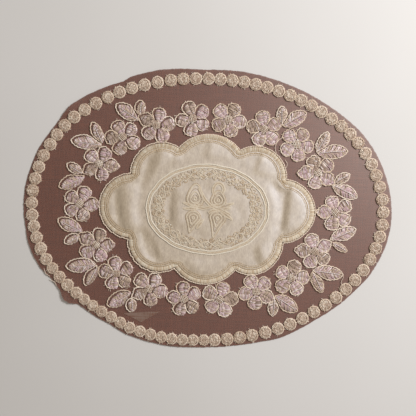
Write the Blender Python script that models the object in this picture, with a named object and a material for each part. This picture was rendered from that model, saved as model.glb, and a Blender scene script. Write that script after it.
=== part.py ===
"""Oval lace doily: a sheer cloth edged with a chain of embroidered dots, a garland of five-petalled
flowers and leaf pairs, and a scalloped satin centre with a braided oval and scroll embroidery.

Run with blender --background --python part.py. Sizes here are in millimetres and become metres where
a mesh is made. +X is the oval's long way, +Y its short way, +Z is up from the table it lies on.
"""

import math

import bpy
from mathutils import Vector
from mathutils.geometry import delaunay_2d_cdt

MM = 0.001

# Driving sizes, in millimetres
RING_HALF_LENGTH = 193.1  # the oval on which the dots' middles lie
RING_HALF_WIDTH = 144.0
DOT_COUNT = 80
DOT_RADIUS = 6.9
CLOTH = 1.0  # thickness of a sheet
AIR = 0.3  # left between two pieces that touch
RIM_FOLD = 7.6  # the rim starts to tilt up this far inside the dots' middles

EYE_TO_PETAL = 12.3
PETAL_RADIUS = 7.6
PETAL_POINT = 2.6
EMBROIDERY = 1.4  # height of the raised thread
THREAD_GAP = 0.7  # organza that shows between two petals that meet
LEAF_GAP = 1.2  # and between a leaf and a petal

SATIN_EDGING = 7.6  # width of the stitched band around the satin
SATIN_PUFF = 0.8
OVAL_HALF_LENGTH = 68.0
OVAL_HALF_WIDTH = 50.0
BRAID_WIDTH = 5.4
SCROLL_INSET = 18.0  # from the oval to the inner edge of its scroll embroidery
SCROLL_COUNT = 14
MOTIF_RADIUS = 24.0

# The dotted rim as it lies: dot, its place around the oval in degrees, how far it stands out
RIM = (
    (0, 90.9, -1.3),
    (3, 103.3, -0.7),
    (8, 125.5, 1.1),
    (12, 144.4, 2.4),
    (14, 153.8, 0.8),
    (17, 169.5, -0.9),
    (20, 185.7, -1.4),
    (24, 205.7, -0.7),
    (28, 223.4, -1.9),
    (32, 238.8, -0.7),
    (34, 246.1, 2.2),
    (37, 256.9, 2.4),
    (42, 274.3, -0.1),
    (45, 286.8, -1.0),
    (48, 300.3, -1.3),
    (50, 309.8, -2.4),
    (53, 324.6, -1.5),
    (55, 335.0, -0.2),
    (59, 355.9, 1.3),
    (62, 372.4, 1.0),
    (66, 392.6, 1.6),
    (70, 410.7, -0.3),
    (75, 431.3, -0.6),
    (80, 450.9, -1.3),
)

# The raw cut edge: place around the oval in degrees, cloth left outside the dots, lift of the edge
CUT = (
    (0.0, 2.7, 0.3),
    (30.0, 3.3, 0.2),
    (60.0, 3.5, 0.3),
    (81.0, 4.4, 0.5),
    (92.0, 3.2, 0.3),
    (100.0, 4.9, 0.6),
    (106.5, 6.5, 1.0),
    (115.5, 5.7, 0.7),
    (118.5, 3.2, 0.4),
    (131.5, 5.8, 1.4),
    (138.0, 6.1, 2.1),
    (145.5, 1.2, 0.5),
    (170.0, 1.8, 0.2),
    (191.0, 2.2, 0.4),
    (197.0, 3.8, 0.8),
    (207.0, 3.8, 0.6),
    (213.0, 1.3, 0.4),
    (218.0, 2.6, 1.3),
    (221.5, 7.6, 2.3),
    (224.0, 7.0, 1.9),
    (226.5, 1.4, 0.7),
    (240.0, 1.1, 0.5),
    (258.0, 1.2, 0.9),
    (279.0, 1.1, 0.3),
    (289.0, 2.2, 0.4),
    (295.5, 3.8, 0.6),
    (302.5, 2.2, 0.3),
    (323.0, 1.6, 0.2),
    (339.0, 2.5, 0.4),
    (360.0, 2.7, 0.3),
)

# A quarter of the garland, mirrored into the others: middle x, y, turn of the first petal in degrees,
# and which petals end in a point
FLOWERS = (
    (19.6, 98.8, 353.0, (0,)),
    (59.2, 89.7, 26.0, (0, 2)),
    (95.9, 74.4, 352.0, ()),
    (120.1, 44.2, 328.0, (0, 3)),
    (140.3, 0.0, 36.0, (2,)),
)
# Leaf pairs: base x, y, tip of the large leaf x, y, its width, tip of the small leaf x, y, its width
LEAVES = (
    (78.5, 93.8, 105.0, 110.0, 16.5, 77.9, 116.4, 14.0),
    (118.0, 65.5, 152.6, 68.9, 16.5, 130.3, 89.4, 14.0),
    (135.1, 31.5, 164.0, 17.2, 15.5, 155.7, 43.4, 13.0),
)
# Half widths of a leaf along its length
LEAF_SHAPE = ((0.0, 0.1), (0.1, 0.5), (0.22, 0.8), (0.36, 0.97), (0.52, 1.0), (0.68, 0.85), (0.85, 0.5))
# How the garland has drifted as the cloth lies: place around the oval in degrees, along X, along Y
DRIFT = (
    (0.0, 1.4, 1.4),
    (30.0, 0.5, 0.4),
    (65.0, 0.9, 0.0),
    (98.0, 1.0, -0.6),
    (134.0, 1.1, 1.3),
    (160.0, 0.5, 0.5),
    (185.0, 1.2, 0.0),
    (226.0, 0.0, -0.1),
    (262.0, -1.0, -1.0),
    (296.0, -0.9, 1.0),
    (320.0, 0.4, 2.0),
    (340.0, 0.8, 1.9),
    (360.0, 1.4, 1.4),
)

# The satin centre: middle, two cusps of a quarter, and how far each kind of lobe bulges
SATIN_MIDDLE = (1.2, -0.6)
CUSPS = ((33.6, 66.1), (85.4, 35.5))
BULGE_TOP, BULGE_SLANT, BULGE_SIDE = 16.7, 18.0, 32.9
CUSP_FILLET = 0.9
# How the satin has drifted with the cloth: place around it in degrees, along X, along Y
SATIN_DRIFT = (
    (0.0, -0.2, 0.4),
    (60.0, 0.0, 0.0),
    (260.0, 0.0, 0.6),
    (300.0, -0.8, 1.0),
    (325.0, -1.8, 2.4),
    (345.0, -1.2, 1.6),
    (360.0, -0.2, 0.4),
)

# Soft folds of the satin: middle x, y, half width, half length, lean in degrees, height
FOLDS = (
    (-93.8, 4.0, 9.0, 30.0, 0.0, -0.7),
    (-81.0, 2.0, 7.0, 34.0, 0.0, 0.6),
    (-60.0, 51.0, 8.0, 18.0, -12.0, -0.6),
    (-58.0, -44.0, 8.0, 18.0, 10.0, -0.6),
    (-35.5, 2.0, 7.0, 22.0, 0.0, 0.5),
    (55.8, 49.0, 6.0, 16.0, -8.0, -0.6),
    (54.7, -46.0, 7.0, 16.0, 8.0, -0.6),
    (74.5, 2.0, 8.0, 34.0, -4.0, 0.5),
    (86.6, 5.0, 7.0, 30.0, -5.0, -0.8),
    (101.0, 3.0, 8.0, 26.0, 0.0, 0.4),
)


def read(table, column, at):
    """A table's column at a place, in straight steps from one row to the next."""
    for low, high in zip(table, table[1:]):
        if low[0] <= at <= high[0]:
            return low[column] + (high[column] - low[column]) * (at - low[0]) / (high[0] - low[0])
    return table[0][column]


def eased(table, column, at):
    """The same, but easing in and out of each row."""
    for low, high in zip(table, table[1:]):
        if low[0] <= at <= high[0]:
            share = 0.5 - 0.5 * math.cos(math.pi * (at - low[0]) / (high[0] - low[0]))
            return low[column] + (high[column] - low[column]) * share
    return table[0][column]


def soft(share):
    """0 to 1 as share goes 0 to 1, level at both ends."""
    share = min(max(share, 0.0), 1.0)
    return share * share * (3 - 2 * share)


def distance_to(loop, x, y):
    """How far a point is from a closed line."""
    best = 1e9
    here = Vector((x, y))
    for a, b in zip(loop, loop[1:] + loop[:1]):
        span = b - a
        share = min(max((here - a).dot(span) / span.length_squared, 0.0), 1.0)
        best = min(best, (a + span * share - here).length)
    return best


def is_inside(loop, x, y):
    found = False
    for a, b in zip(loop, loop[1:] + loop[:1]):
        if (a.y > y) != (b.y > y) and x < a.x + (b.x - a.x) * (y - a.y) / (b.y - a.y):
            found = not found
    return found


def rim_point(dot, out=0.0):
    """A point of the dotted rim at a dot's number, whole or not, and a distance outside the route."""
    dot %= DOT_COUNT
    place = math.radians(read(RIM, 1, dot))
    across = Vector((math.cos(place) / RING_HALF_LENGTH, math.sin(place) / RING_HALF_WIDTH)).normalized()
    route = Vector((RING_HALF_LENGTH * math.cos(place), RING_HALF_WIDTH * math.sin(place)))
    return route + across * (eased(RIM, 2, dot) + out)


def rim_place(dot):
    return read(RIM, 1, dot % DOT_COUNT) % 360.0


def dot_radius(dot):
    """A dot's radius, less where the puckered rim crowds the dots and tips them on edge."""
    pitch = (rim_point(dot + 0.5) - rim_point(dot - 0.5)).length
    return min(DOT_RADIUS, max(5.8, 0.535 * pitch))


def cut_reach(dot):
    return DOT_RADIUS + read(CUT, 1, rim_place(dot))


def rim_lift(dot, out):
    """Height gained by the tilted rim: nothing at RIM_FOLD inside the route, all of it at the cut edge."""
    whole = eased(CUT, 2, rim_place(dot))
    return whole * max(0.0, out + RIM_FOLD) / (RIM_FOLD + cut_reach(dot))


CUT_STATIONS = [i * 0.5 for i in range(2 * DOT_COUNT)]
CUT_EDGE = [rim_point(dot, cut_reach(dot)) for dot in CUT_STATIONS]
MIDDLE = Vector(
    (
        (max(p.x for p in CUT_EDGE) + min(p.x for p in CUT_EDGE)) / 2,
        (max(p.y for p in CUT_EDGE) + min(p.y for p in CUT_EDGE)) / 2,
    )
)


def material(name, colour, roughness=0.7, alpha=1.0):
    made = bpy.data.materials.new(name)
    made.use_nodes = True
    shader = made.node_tree.nodes["Principled BSDF"]
    shader.inputs["Base Color"].default_value = (*colour, 1.0)
    shader.inputs["Roughness"].default_value = roughness
    shader.inputs["Alpha"].default_value = alpha
    made.diffuse_color = (*colour, alpha)
    return made


ORGANZA = material("mauve_organza", (0.36, 0.24, 0.22), 0.55)
SATIN = material("champagne_satin", (0.66, 0.57, 0.46), 0.35)
BRAID = material("cream_cord", (0.72, 0.62, 0.47), 0.65)
LILAC = material("lilac_thread", (0.55, 0.44, 0.44), 0.6)
ROSE = material("rose_beige_thread", (0.56, 0.45, 0.38), 0.6)


def solid(name, points, faces, look):
    """One closed piece, moved so that the cut cloth's middle is the origin, in metres."""
    mesh = bpy.data.meshes.new(name)
    mesh.from_pydata([((x - MIDDLE.x) * MM, (y - MIDDLE.y) * MM, z * MM) for x, y, z in points], [], faces)
    mesh.shade_smooth()
    mesh.set_sharp_from_angle(angle=math.radians(50))
    mesh.materials.append(look)
    piece = bpy.data.objects.new(name, mesh)
    bpy.context.scene.collection.objects.link(piece)
    return piece


def ring(name, stations, look):
    """A closed band: stations run anticlockwise, each a section from its outer foot over to its inner."""
    count, size = len(stations), len(stations[0])
    points = [point for station in stations for point in station]
    faces = []
    for i in range(count):
        here, there = i * size, (i + 1) % count * size
        for k in range(size):
            after = (k + 1) % size
            faces.append((here + k, there + k, there + after, here + after))
    return solid(name, points, faces, look)


def patch(name, outline, floor, steps, look):
    """A low mound of raised thread: its outline drawn in and up by steps of share, height, to a middle."""
    count = len(outline)
    middle = sum(outline, Vector((0.0, 0.0))) / count
    points = [(p.x, p.y, floor) for p in outline]
    for share, height in steps[:-1]:
        points += [(*(middle + (p - middle) * share), floor + height) for p in outline]
    points.append((*middle, floor + steps[-1][1]))
    faces = [tuple(range(count - 1, -1, -1))]
    for level in range(len(steps) - 1):
        for i in range(count):
            j = (i + 1) % count
            low, high = level * count, (level + 1) * count
            faces.append((low + i, low + j, high + j, high + i))
    top = (len(steps) - 1) * count
    faces += [(top + i, top + (i + 1) % count, len(points) - 1) for i in range(count)]
    return solid(name, points, faces, look)


def organza_ground():
    """The sheer cloth, cut raw outside the dots, its rim tilting up a little here and there."""
    count = len(CUT_STATIONS)
    fold = [rim_point(dot, -RIM_FOLD) for dot in CUT_STATIONS]
    lift = [rim_lift(dot, cut_reach(dot)) for dot in CUT_STATIONS]
    points = [(0.0, 0.0, 0.0)]
    points += [(p.x, p.y, 0.0) for p in fold]
    points += [(p.x, p.y, h) for p, h in zip(CUT_EDGE, lift)]
    points += [(p.x, p.y, h + CLOTH) for p, h in zip(CUT_EDGE, lift)]
    points += [(p.x, p.y, CLOTH) for p in fold]
    points += [(0.0, 0.0, CLOTH)]
    faces = []
    for i in range(count):
        j = (i + 1) % count
        faces.append((0, 1 + j, 1 + i))
        for loop in range(3):
            low, high = 1 + loop * count, 1 + (loop + 1) * count
            faces.append((low + i, low + j, high + j, high + i))
        faces.append((1 + 3 * count + i, 1 + 3 * count + j, len(points) - 1))
    solid("organza_ground", points, faces, ORGANZA)


def dot_edging():
    """The chain of dots: discs with a raised rim, run together by a short thread bridge at each join."""
    stations = []
    for dot in range(DOT_COUNT):
        middle, radius = rim_point(dot), dot_radius(dot)
        for step in (-0.5, -0.36, -0.14, 0.14, 0.36):
            at = dot + step
            along = (rim_point(at) - middle).length
            half = math.sqrt(max(radius**2 - along**2, 2.1**2))
            height = EMBROIDERY if half > 3.0 else 0.8
            floor = CLOTH + AIR + 0.1
            section = (
                (half, 0.0),
                (half * 0.84, height),
                (0.0, height * 0.72),
                (-half * 0.84, height),
                (-half, 0.0),
            )
            stations.append(
                [(*rim_point(at, out), floor + rim_lift(at, out) + high) for out, high in section]
            )
    ring("dot_edging", stations, ROSE)


def drifted(point):
    place = math.degrees(math.atan2(point.y / RING_HALF_WIDTH, point.x / RING_HALF_LENGTH)) % 360.0
    return point + Vector((eased(DRIFT, 1, place), eased(DRIFT, 2, place)))


def petal_edge(angle, petals):
    """How far a flower reaches from its eye at an angle, from circles around each petal's middle."""
    reach = 0.0
    for turn, pointed in petals:
        off = (angle - turn + 180.0) % 360.0 - 180.0
        side = EYE_TO_PETAL * math.sin(math.radians(off))
        if abs(off) < 90.0 and abs(side) < PETAL_RADIUS:
            here = EYE_TO_PETAL * math.cos(math.radians(off)) + math.sqrt(PETAL_RADIUS**2 - side**2)
            here += PETAL_POINT * max(0.0, 1 - abs(off) / 22.0) if pointed else 0.0
            reach = max(reach, here)
    return reach


def garland_flowers():
    """Every flower: its middle and its petals' turns, from the quarter chart and its mirror images."""
    flowers = []
    for x, y, turn, points in FLOWERS:
        for flip_x in (1, -1):
            for flip_y in (1, -1) if y else (1,):
                petals = []
                for k in range(5):
                    at = math.radians(turn + 72.0 * k)
                    at = math.atan2(flip_y * math.sin(at), flip_x * math.cos(at))
                    petals.append((math.degrees(at) % 360.0, k in points))
                petals.sort()
                flowers.append((drifted(Vector((flip_x * x, flip_y * y))), petals))
    return flowers


def place_flowers(flowers, scallop):
    for number, (middle, petals) in enumerate(flowers, start=1):
        others = [other - middle for other, _ in flowers if 0.0 < (other - middle).length < 45.0]
        outline = []
        for turn, _ in petals:
            for off in (-36.0, -29.0, -16.0, 0.0, 16.0, 29.0):
                at = turn + off
                far = Vector((math.cos(math.radians(at)), math.sin(math.radians(at))))
                reach = petal_edge(at, petals)
                for other in others:  # two petals that meet stop at the line midway between their flowers
                    facing = far.dot(other.normalized())
                    if facing > 0.3:
                        reach = min(reach, (other.length / 2 - THREAD_GAP / 2) / facing)
                tip = middle + far * reach
                while is_inside(scallop, *tip) or distance_to(scallop, *tip) < THREAD_GAP:
                    tip -= far * 0.25
                outline.append(tip)
        steps = ((0.97, EMBROIDERY * 0.85), (0.84, EMBROIDERY), (0.3, EMBROIDERY * 0.8), (0.0, EMBROIDERY * 1.3))
        patch(f"flower_{number:02d}", outline, CLOTH + AIR, steps, LILAC)


def leaf_outline(base, tip, width, other_tip, flowers):
    """A leaf from base to tip, kept to its own side of its pair's middle line and off the flowers."""
    along = tip - base
    length = along.length
    along.normalize()
    across = Vector((-along.y, along.x))
    split = (along + (other_tip - base).normalized()).normalized()
    away = Vector((-split.y, split.x))
    if away.dot(along) < 0:
        away = -away

    def clear(point):
        for middle, petals in flowers:
            gap = point - middle
            if gap.length < petal_edge(math.degrees(math.atan2(gap.y, gap.x)), petals) + LEAF_GAP:
                return False
        return (point - base).dot(away) > THREAD_GAP / 2

    start = 0.0
    while not clear(base + along * start):
        start += 0.25
    sides = ([], [])
    for share, half in LEAF_SHAPE:
        place = base + along * (start + share * (length - start))
        for side, direction in zip(sides, (-across, across)):
            reach = half * width / 2
            while reach > 0.4 and not clear(place + direction * reach):
                reach -= 0.2
            side.append(place + direction * reach)
    return sides[0] + [tip] + sides[1][::-1]


def place_leaves(flowers):
    steps = ((0.93, EMBROIDERY * 0.85), (0.0, EMBROIDERY * 1.15))
    number = 0
    for bx, by, lx, ly, large, sx, sy, small in LEAVES:
        for flip_x in (1, -1):
            for flip_y in (1, -1):
                number += 1
                base, tip, side = (
                    drifted(Vector((flip_x * x, flip_y * y))) for x, y in ((bx, by), (lx, ly), (sx, sy))
                )
                outline = leaf_outline(base, tip, large, side, flowers)
                patch(f"leaf_large_{number:02d}", outline, CLOTH + AIR, steps, LILAC)
                outline = leaf_outline(base, side, small, tip, flowers)
                patch(f"leaf_small_{number:02d}", outline, CLOTH + AIR, steps, LILAC)


def lobe(start, end, bulge, count):
    """Points and outward directions along an arc that bulges to the right of start to end."""
    chord = end - start
    side = Vector((chord.y, -chord.x)).normalized()
    radius = (chord.length_squared / 4 + bulge * bulge) / (2 * bulge)
    centre = (start + end) / 2 + side * (bulge - radius)
    first = math.atan2(start.y - centre.y, start.x - centre.x)
    turn = (math.atan2(end.y - centre.y, end.x - centre.x) - first) % (2 * math.pi)
    for i in range(count):
        at = first + turn * i / (count - 1)
        out = Vector((math.cos(at), math.sin(at)))
        yield centre + out * radius, out


def scallops():
    """The satin's lobed outline, anticlockwise: points with outward directions, cusps a little rounded."""
    (tx, ty), (sx, sy) = CUSPS
    cusps = [(tx, ty), (-tx, ty), (-sx, sy), (-sx, -sy), (-tx, -ty), (tx, -ty), (sx, -sy), (sx, sy)]
    bulges = [BULGE_TOP, BULGE_SLANT, BULGE_SIDE, BULGE_SLANT] * 2
    middle = Vector(SATIN_MIDDLE)
    arcs = []
    for k, bulge in enumerate(bulges):
        start, end = Vector(cusps[k]) + middle, Vector(cusps[(k + 1) % 8]) + middle
        arcs.append(list(lobe(start, end, bulge, 15 if bulge == BULGE_SIDE else 10)))
    outline = []
    for k, arc in enumerate(arcs):
        outline += arc[1:-1]
        corner, before, after = arc[-1][0], arc[-1][1], arcs[(k + 1) % 8][0][1]
        outward = (before + after).normalized()
        for share in (0.0, 0.5, 1.0):
            out = before.lerp(after, share).normalized() if share != 0.5 else outward
            outline.append((corner + (outward - out) * CUSP_FILLET, out))
    lying = []
    for point, out in outline:
        place = math.degrees(math.atan2(point.y - middle.y, point.x - middle.x)) % 360.0
        drift = Vector((eased(SATIN_DRIFT, 1, place), eased(SATIN_DRIFT, 2, place)))
        lying.append((point + drift, out))
    return lying


def scallop_edging(outline):
    """The stitched band that holds the satin down: a cord along its edge, then a rounded band."""
    floor = CLOTH + AIR
    section = (
        (0.0, 0.0),
        (0.1, 0.9),
        (1.1, 1.7),
        (4.6, 1.9),
        (SATIN_EDGING, 1.1),
        (SATIN_EDGING, 0.0),
    )
    stations = [[(*(p - out * inward), floor + high) for inward, high in section] for p, out in outline]
    ring("scallop_edging", stations, BRAID)


def oval(count, inset):
    """Points around the satin's oval, drawn in by a distance that may change with the angle."""
    middle = Vector(SATIN_MIDDLE)
    for i in range(count):
        at = 2 * math.pi * i / count
        point = Vector((OVAL_HALF_LENGTH * math.cos(at), OVAL_HALF_WIDTH * math.sin(at)))
        out = Vector((math.cos(at) / OVAL_HALF_LENGTH, math.sin(at) / OVAL_HALF_WIDTH)).normalized()
        yield middle + point - out * (inset(at) if callable(inset) else inset)


def scroll_inset(at):
    """The inner edge of the scroll embroidery: deeper at the oval's ends, and waved by the scrolls."""
    return SCROLL_INSET + 1.6 * math.cos(2 * at) + 1.0 * math.cos(SCROLL_COUNT * at)


def satin_height(x, y, edge):
    """How far the satin stands up between the lines that stitch it down, with its soft folds."""
    x, y = x - SATIN_MIDDLE[0], y - SATIN_MIDDLE[1]
    share = math.hypot(x / OVAL_HALF_LENGTH, y / OVAL_HALF_WIDTH)
    if share < 1.0:
        held = soft((0.60 - share) / 0.10) * soft((math.hypot(x, y) - MOTIF_RADIUS - 1.5) / 5.0)
        puff = 0.2
    else:
        held = soft((share - 1.03) / 0.2) * soft(edge / 9.0)
        puff = SATIN_PUFF
    for fx, fy, wide, long, lean, height in FOLDS:
        slope = math.tan(math.radians(lean))
        off = (x - fx - slope * (y - fy)) / wide
        puff += height * math.exp(-off * off) * soft(1.3 - abs(y - fy) / long)
    return max(0.0, puff) * held


def satin_centre(outline):
    """The satin sheet inside its edging, flat beneath and softly folded on top."""
    rim = [p - out * (SATIN_EDGING + AIR) for p, out in outline]
    loops = [rim, list(oval(60, -2.0)), list(oval(36, SCROLL_INSET + 3.0))]
    middle = Vector(SATIN_MIDDLE)
    turns = [2 * math.pi * i / 18 for i in range(18)]
    loops.append([middle + Vector((math.cos(a), math.sin(a))) * (MOTIF_RADIUS + 1.5) for a in turns])

    points, edges = [], []
    for loop in loops:
        first = len(points)
        points += loop
        edges += [(first + i, first + (i + 1) % len(loop)) for i in range(len(loop))]
    step_x, step_y = 7.0, 12.0
    for column in range(-15, 16):
        for row in range(-7, 8):
            x = SATIN_MIDDLE[0] + column * step_x
            y = SATIN_MIDDLE[1] + (row + 0.5 * (column % 2)) * step_y
            if math.hypot(x - SATIN_MIDDLE[0], y - SATIN_MIDDLE[1]) < MOTIF_RADIUS + 2.0:
                continue
            share = math.hypot((x - SATIN_MIDDLE[0]) / OVAL_HALF_LENGTH, (y - SATIN_MIDDLE[1]) / OVAL_HALF_WIDTH)
            if 0.6 < share < 1.03 or not is_inside(rim, x, y):
                continue
            if min(distance_to(loop, x, y) for loop in loops) > 2.6:
                points.append(Vector((x, y)))
    flat, _, triangles, _, _, _ = delaunay_2d_cdt(points, edges, [], 1, 1e-5)
    floor = CLOTH + AIR
    heights = [satin_height(p.x, p.y, distance_to(rim, p.x, p.y)) for p in flat]
    size = len(flat)
    solid_points = [(p.x, p.y, floor + CLOTH + h) for p, h in zip(flat, heights)]
    solid_points += [(p.x, p.y, floor) for p in rim]
    faces = [tuple(t) for t in triangles]
    count = len(rim)
    faces.append(tuple(size + i for i in range(count - 1, -1, -1)))
    for i in range(count):
        j = (i + 1) % count
        faces.append((size + i, size + j, j, i))
    solid("satin_centre", solid_points, faces, SATIN)


def oval_braid():
    """Two cords laid side by side around the oval, on one strip of stitching."""
    floor = CLOTH + AIR + CLOTH + AIR
    section = (
        (0.0, 0.0),
        (0.1, 0.7),
        (1.3, 1.4),
        (2.7, 0.7),
        (4.0, 1.3),
        (BRAID_WIDTH - 0.2, 0.9),
        (BRAID_WIDTH, 0.0),
    )
    loops = [list(oval(56, inward)) for inward, _ in section]
    stations = [[(*loops[k][i], floor + section[k][1]) for k in range(len(section))] for i in range(56)]
    ring("oval_braid", stations, BRAID)


def scroll_band():
    """The ring of scroll embroidery inside the braid, its edges following the scrolls' turns."""
    floor = CLOTH + AIR + CLOTH + AIR
    count = 5 * SCROLL_COUNT
    start = BRAID_WIDTH + AIR + 0.2
    rows = ((0.0, 0.0), (0.08, 0.7), (0.5, 1.0), (0.92, 0.7), (1.0, 0.0))
    loops = [list(oval(count, lambda at, k=k: start + k * (scroll_inset(at) - start))) for k, _ in rows]
    stations = [[(*loops[k][i], floor + rows[k][1]) for k in range(len(rows))] for i in range(count)]
    ring("scroll_band", stations, BRAID)


def centre_motif():
    """Four teardrop blooms on stems that cross at the middle, with leaf tips to the left and right."""
    outline = []
    for i in range(48):
        at = math.radians(i * 7.5)
        blooms = abs(math.sin(2 * at)) ** 0.7
        tips = max(0.0, math.cos(2 * at)) ** 5 * (1.0 if abs(math.cos(at)) > 0.7 else 0.2)
        reach = min(6.5 + 16.0 * blooms + 15.0 * tips, MOTIF_RADIUS)
        outline.append(Vector(SATIN_MIDDLE) + Vector((math.cos(at), math.sin(at))) * reach)
    floor = CLOTH + AIR + CLOTH + AIR
    patch("centre_motif", outline, floor, ((0.96, 0.7), (0.6, 1.0), (0.0, 0.8)), BRAID)


for old in list(bpy.data.objects):
    bpy.data.objects.remove(old, do_unlink=True)

FLOWER_LIST = garland_flowers()
SCALLOPS = scallops()
organza_ground()
dot_edging()
place_flowers(FLOWER_LIST, [point for point, _ in SCALLOPS])
place_leaves(FLOWER_LIST)
scallop_edging(SCALLOPS)
satin_centre(SCALLOPS)
oval_braid()
scroll_band()
centre_motif()
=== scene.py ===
import math
import random

import bpy
import numpy as np
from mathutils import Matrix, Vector
from mathutils.geometry import delaunay_2d_cdt


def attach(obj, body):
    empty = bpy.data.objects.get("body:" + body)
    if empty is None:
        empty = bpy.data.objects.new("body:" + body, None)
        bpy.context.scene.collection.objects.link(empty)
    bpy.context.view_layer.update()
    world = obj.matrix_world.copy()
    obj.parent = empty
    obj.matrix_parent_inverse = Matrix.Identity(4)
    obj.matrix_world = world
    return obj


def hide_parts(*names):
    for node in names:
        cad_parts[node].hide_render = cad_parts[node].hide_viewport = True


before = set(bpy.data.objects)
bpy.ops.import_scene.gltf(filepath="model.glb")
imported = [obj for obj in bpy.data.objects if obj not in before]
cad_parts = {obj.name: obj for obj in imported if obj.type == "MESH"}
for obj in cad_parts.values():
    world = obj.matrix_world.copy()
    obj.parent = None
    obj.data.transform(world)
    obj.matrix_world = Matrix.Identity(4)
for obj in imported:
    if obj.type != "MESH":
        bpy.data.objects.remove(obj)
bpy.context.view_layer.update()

# Lengths are in millimetres around the middle of the dotted oval: +X is its long way, +Y its short way,
# +Z is up from the table. make_piece moves them to the frame's origin and turns them into metres.

# ----------------------------------------------------------------------------- the sheer cloth
# One oval of mauve polyester organza, woven plain from thin stiff yarn, so the table shows through it.
# It is cut raw a few millimetres outside the dots and laid flat, and its rim tilts up a little where
# the embroidery has drawn it in.

RING_HALF_LENGTH, RING_HALF_WIDTH = 193.1, 144.0  # the oval on which the dots' middles lie
DOT_COUNT = 80
DOT_RADIUS = 6.9
RIM_FOLD = 7.6  # the rim starts to tilt up this far inside the dots' middles
CLOTH_BOTTOM, CLOTH_TOP = 0.15, 0.5  # heights of the cloth's two faces over the table
STATIONS_PER_DOT = 8
FLAT_ROWS = (0.25, 0.5, 0.75, 1.0)  # rows of points on the flat cloth, as shares of the way to the fold
RIM_ROWS = (0.34, 0.67, 1.0)  # rows on the tilted rim, as shares of the way from the fold to the cut edge
RAGGED = (-0.35, 0.15)  # how far short of the cut, or past it, the yarns end

# The dotted rim as it lies: dot, its place around the oval in degrees, how far it stands out
RIM = (
    (0, 90.9, -1.3), (3, 103.3, -0.7), (8, 125.5, 1.1), (12, 144.4, 2.4), (14, 153.8, 0.8),
    (17, 169.5, -0.9), (20, 185.7, -1.4), (24, 205.7, -0.7), (28, 223.4, -1.9), (32, 238.8, -0.7),
    (34, 246.1, 2.2), (37, 256.9, 2.4), (42, 274.3, -0.1), (45, 286.8, -1.0), (48, 300.3, -1.3),
    (50, 309.8, -2.4), (53, 324.6, -1.5), (55, 335.0, -0.2), (59, 355.9, 1.3), (62, 372.4, 1.0),
    (66, 392.6, 1.6), (70, 410.7, -0.3), (75, 431.3, -0.6), (80, 450.9, -1.3),
)
# The raw cut edge: place around the oval in degrees, cloth left outside the dots, lift of the edge
CUT = (
    (0.0, 2.7, 0.3), (30.0, 3.3, 0.2), (60.0, 3.5, 0.3), (81.0, 4.4, 0.5), (92.0, 3.2, 0.3),
    (100.0, 4.9, 0.6), (106.5, 6.5, 1.0), (115.5, 5.7, 0.7), (118.5, 3.2, 0.4), (131.5, 5.8, 1.4),
    (138.0, 6.1, 2.1), (145.5, 1.2, 0.5), (170.0, 1.8, 0.2), (191.0, 2.2, 0.4), (197.0, 3.8, 0.8),
    (207.0, 3.8, 0.6), (213.0, 1.3, 0.4), (218.0, 2.6, 1.3), (221.5, 7.6, 2.3), (224.0, 7.0, 1.9),
    (226.5, 1.4, 0.7), (240.0, 1.1, 0.5), (258.0, 1.2, 0.9), (279.0, 1.1, 0.3), (289.0, 2.2, 0.4),
    (295.5, 3.8, 0.6), (302.5, 2.2, 0.3), (323.0, 1.6, 0.2), (339.0, 2.5, 0.4), (360.0, 2.7, 0.3),
)
RIM_PLACE, RIM_OUT = 1, 2  # columns of RIM
CUT_REACH, CUT_LIFT = 1, 2  # columns of CUT

draw = random.Random(7)  # every small irregularity of hand and machine comes from here, in order


def read(table, column, at):
    """A table's column at a place, in straight steps from one row to the next."""
    for low, high in zip(table, table[1:]):
        if low[0] <= at <= high[0]:
            return low[column] + (high[column] - low[column]) * (at - low[0]) / (high[0] - low[0])
    return table[0][column]


def eased(table, column, at):
    """The same, but easing in and out of each row."""
    for low, high in zip(table, table[1:]):
        if low[0] <= at <= high[0]:
            share = 0.5 - 0.5 * math.cos(math.pi * (at - low[0]) / (high[0] - low[0]))
            return low[column] + (high[column] - low[column]) * share
    return table[0][column]


def on_oval(half_length, half_width, at):
    """A point of an oval at an angle, and the direction straight outward there."""
    point = Vector((half_length * math.cos(at), half_width * math.sin(at)))
    return point, Vector((math.cos(at) / half_length, math.sin(at) / half_width)).normalized()


def rim_point(dot, out=0.0):
    """A point of the dotted rim at a dot's number, whole or not, and a distance outside the route."""
    dot %= DOT_COUNT
    route, outward = on_oval(RING_HALF_LENGTH, RING_HALF_WIDTH, math.radians(read(RIM, RIM_PLACE, dot)))
    return route + outward * (eased(RIM, RIM_OUT, dot) + out)


def cut_reach(dot):
    """How far the cloth reaches outside the route of the dots' middles."""
    return DOT_RADIUS + read(CUT, CUT_REACH, read(RIM, RIM_PLACE, dot % DOT_COUNT) % 360.0)


def rim_slope(dot):
    """How fast the tilted rim rises, from RIM_FOLD inside the route to the cut edge."""
    return eased(CUT, CUT_LIFT, read(RIM, RIM_PLACE, dot % DOT_COUNT) % 360.0) / (RIM_FOLD + cut_reach(dot))


# The frame's origin is the middle of the cut cloth's box
CUT_EDGE = [rim_point(i * 0.5, cut_reach(i * 0.5)) for i in range(2 * DOT_COUNT)]
ORIGIN = (
    (max(p.x for p in CUT_EDGE) + min(p.x for p in CUT_EDGE)) / 2,
    (max(p.y for p in CUT_EDGE) + min(p.y for p in CUT_EDGE)) / 2,
    0.0,
)
SHARP_EDGE = 60.0  # degrees: an edge that turns more than this stays crisp


def linear(colour):
    """An sRGB hex colour as the linear red, green, blue and alpha that a shader takes."""
    parts = [int(colour[i : i + 2], 16) / 255 for i in (0, 2, 4)]
    return (*(c / 12.92 if c <= 0.04045 else ((c + 0.055) / 1.055) ** 2.4 for c in parts), 1.0)


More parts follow.
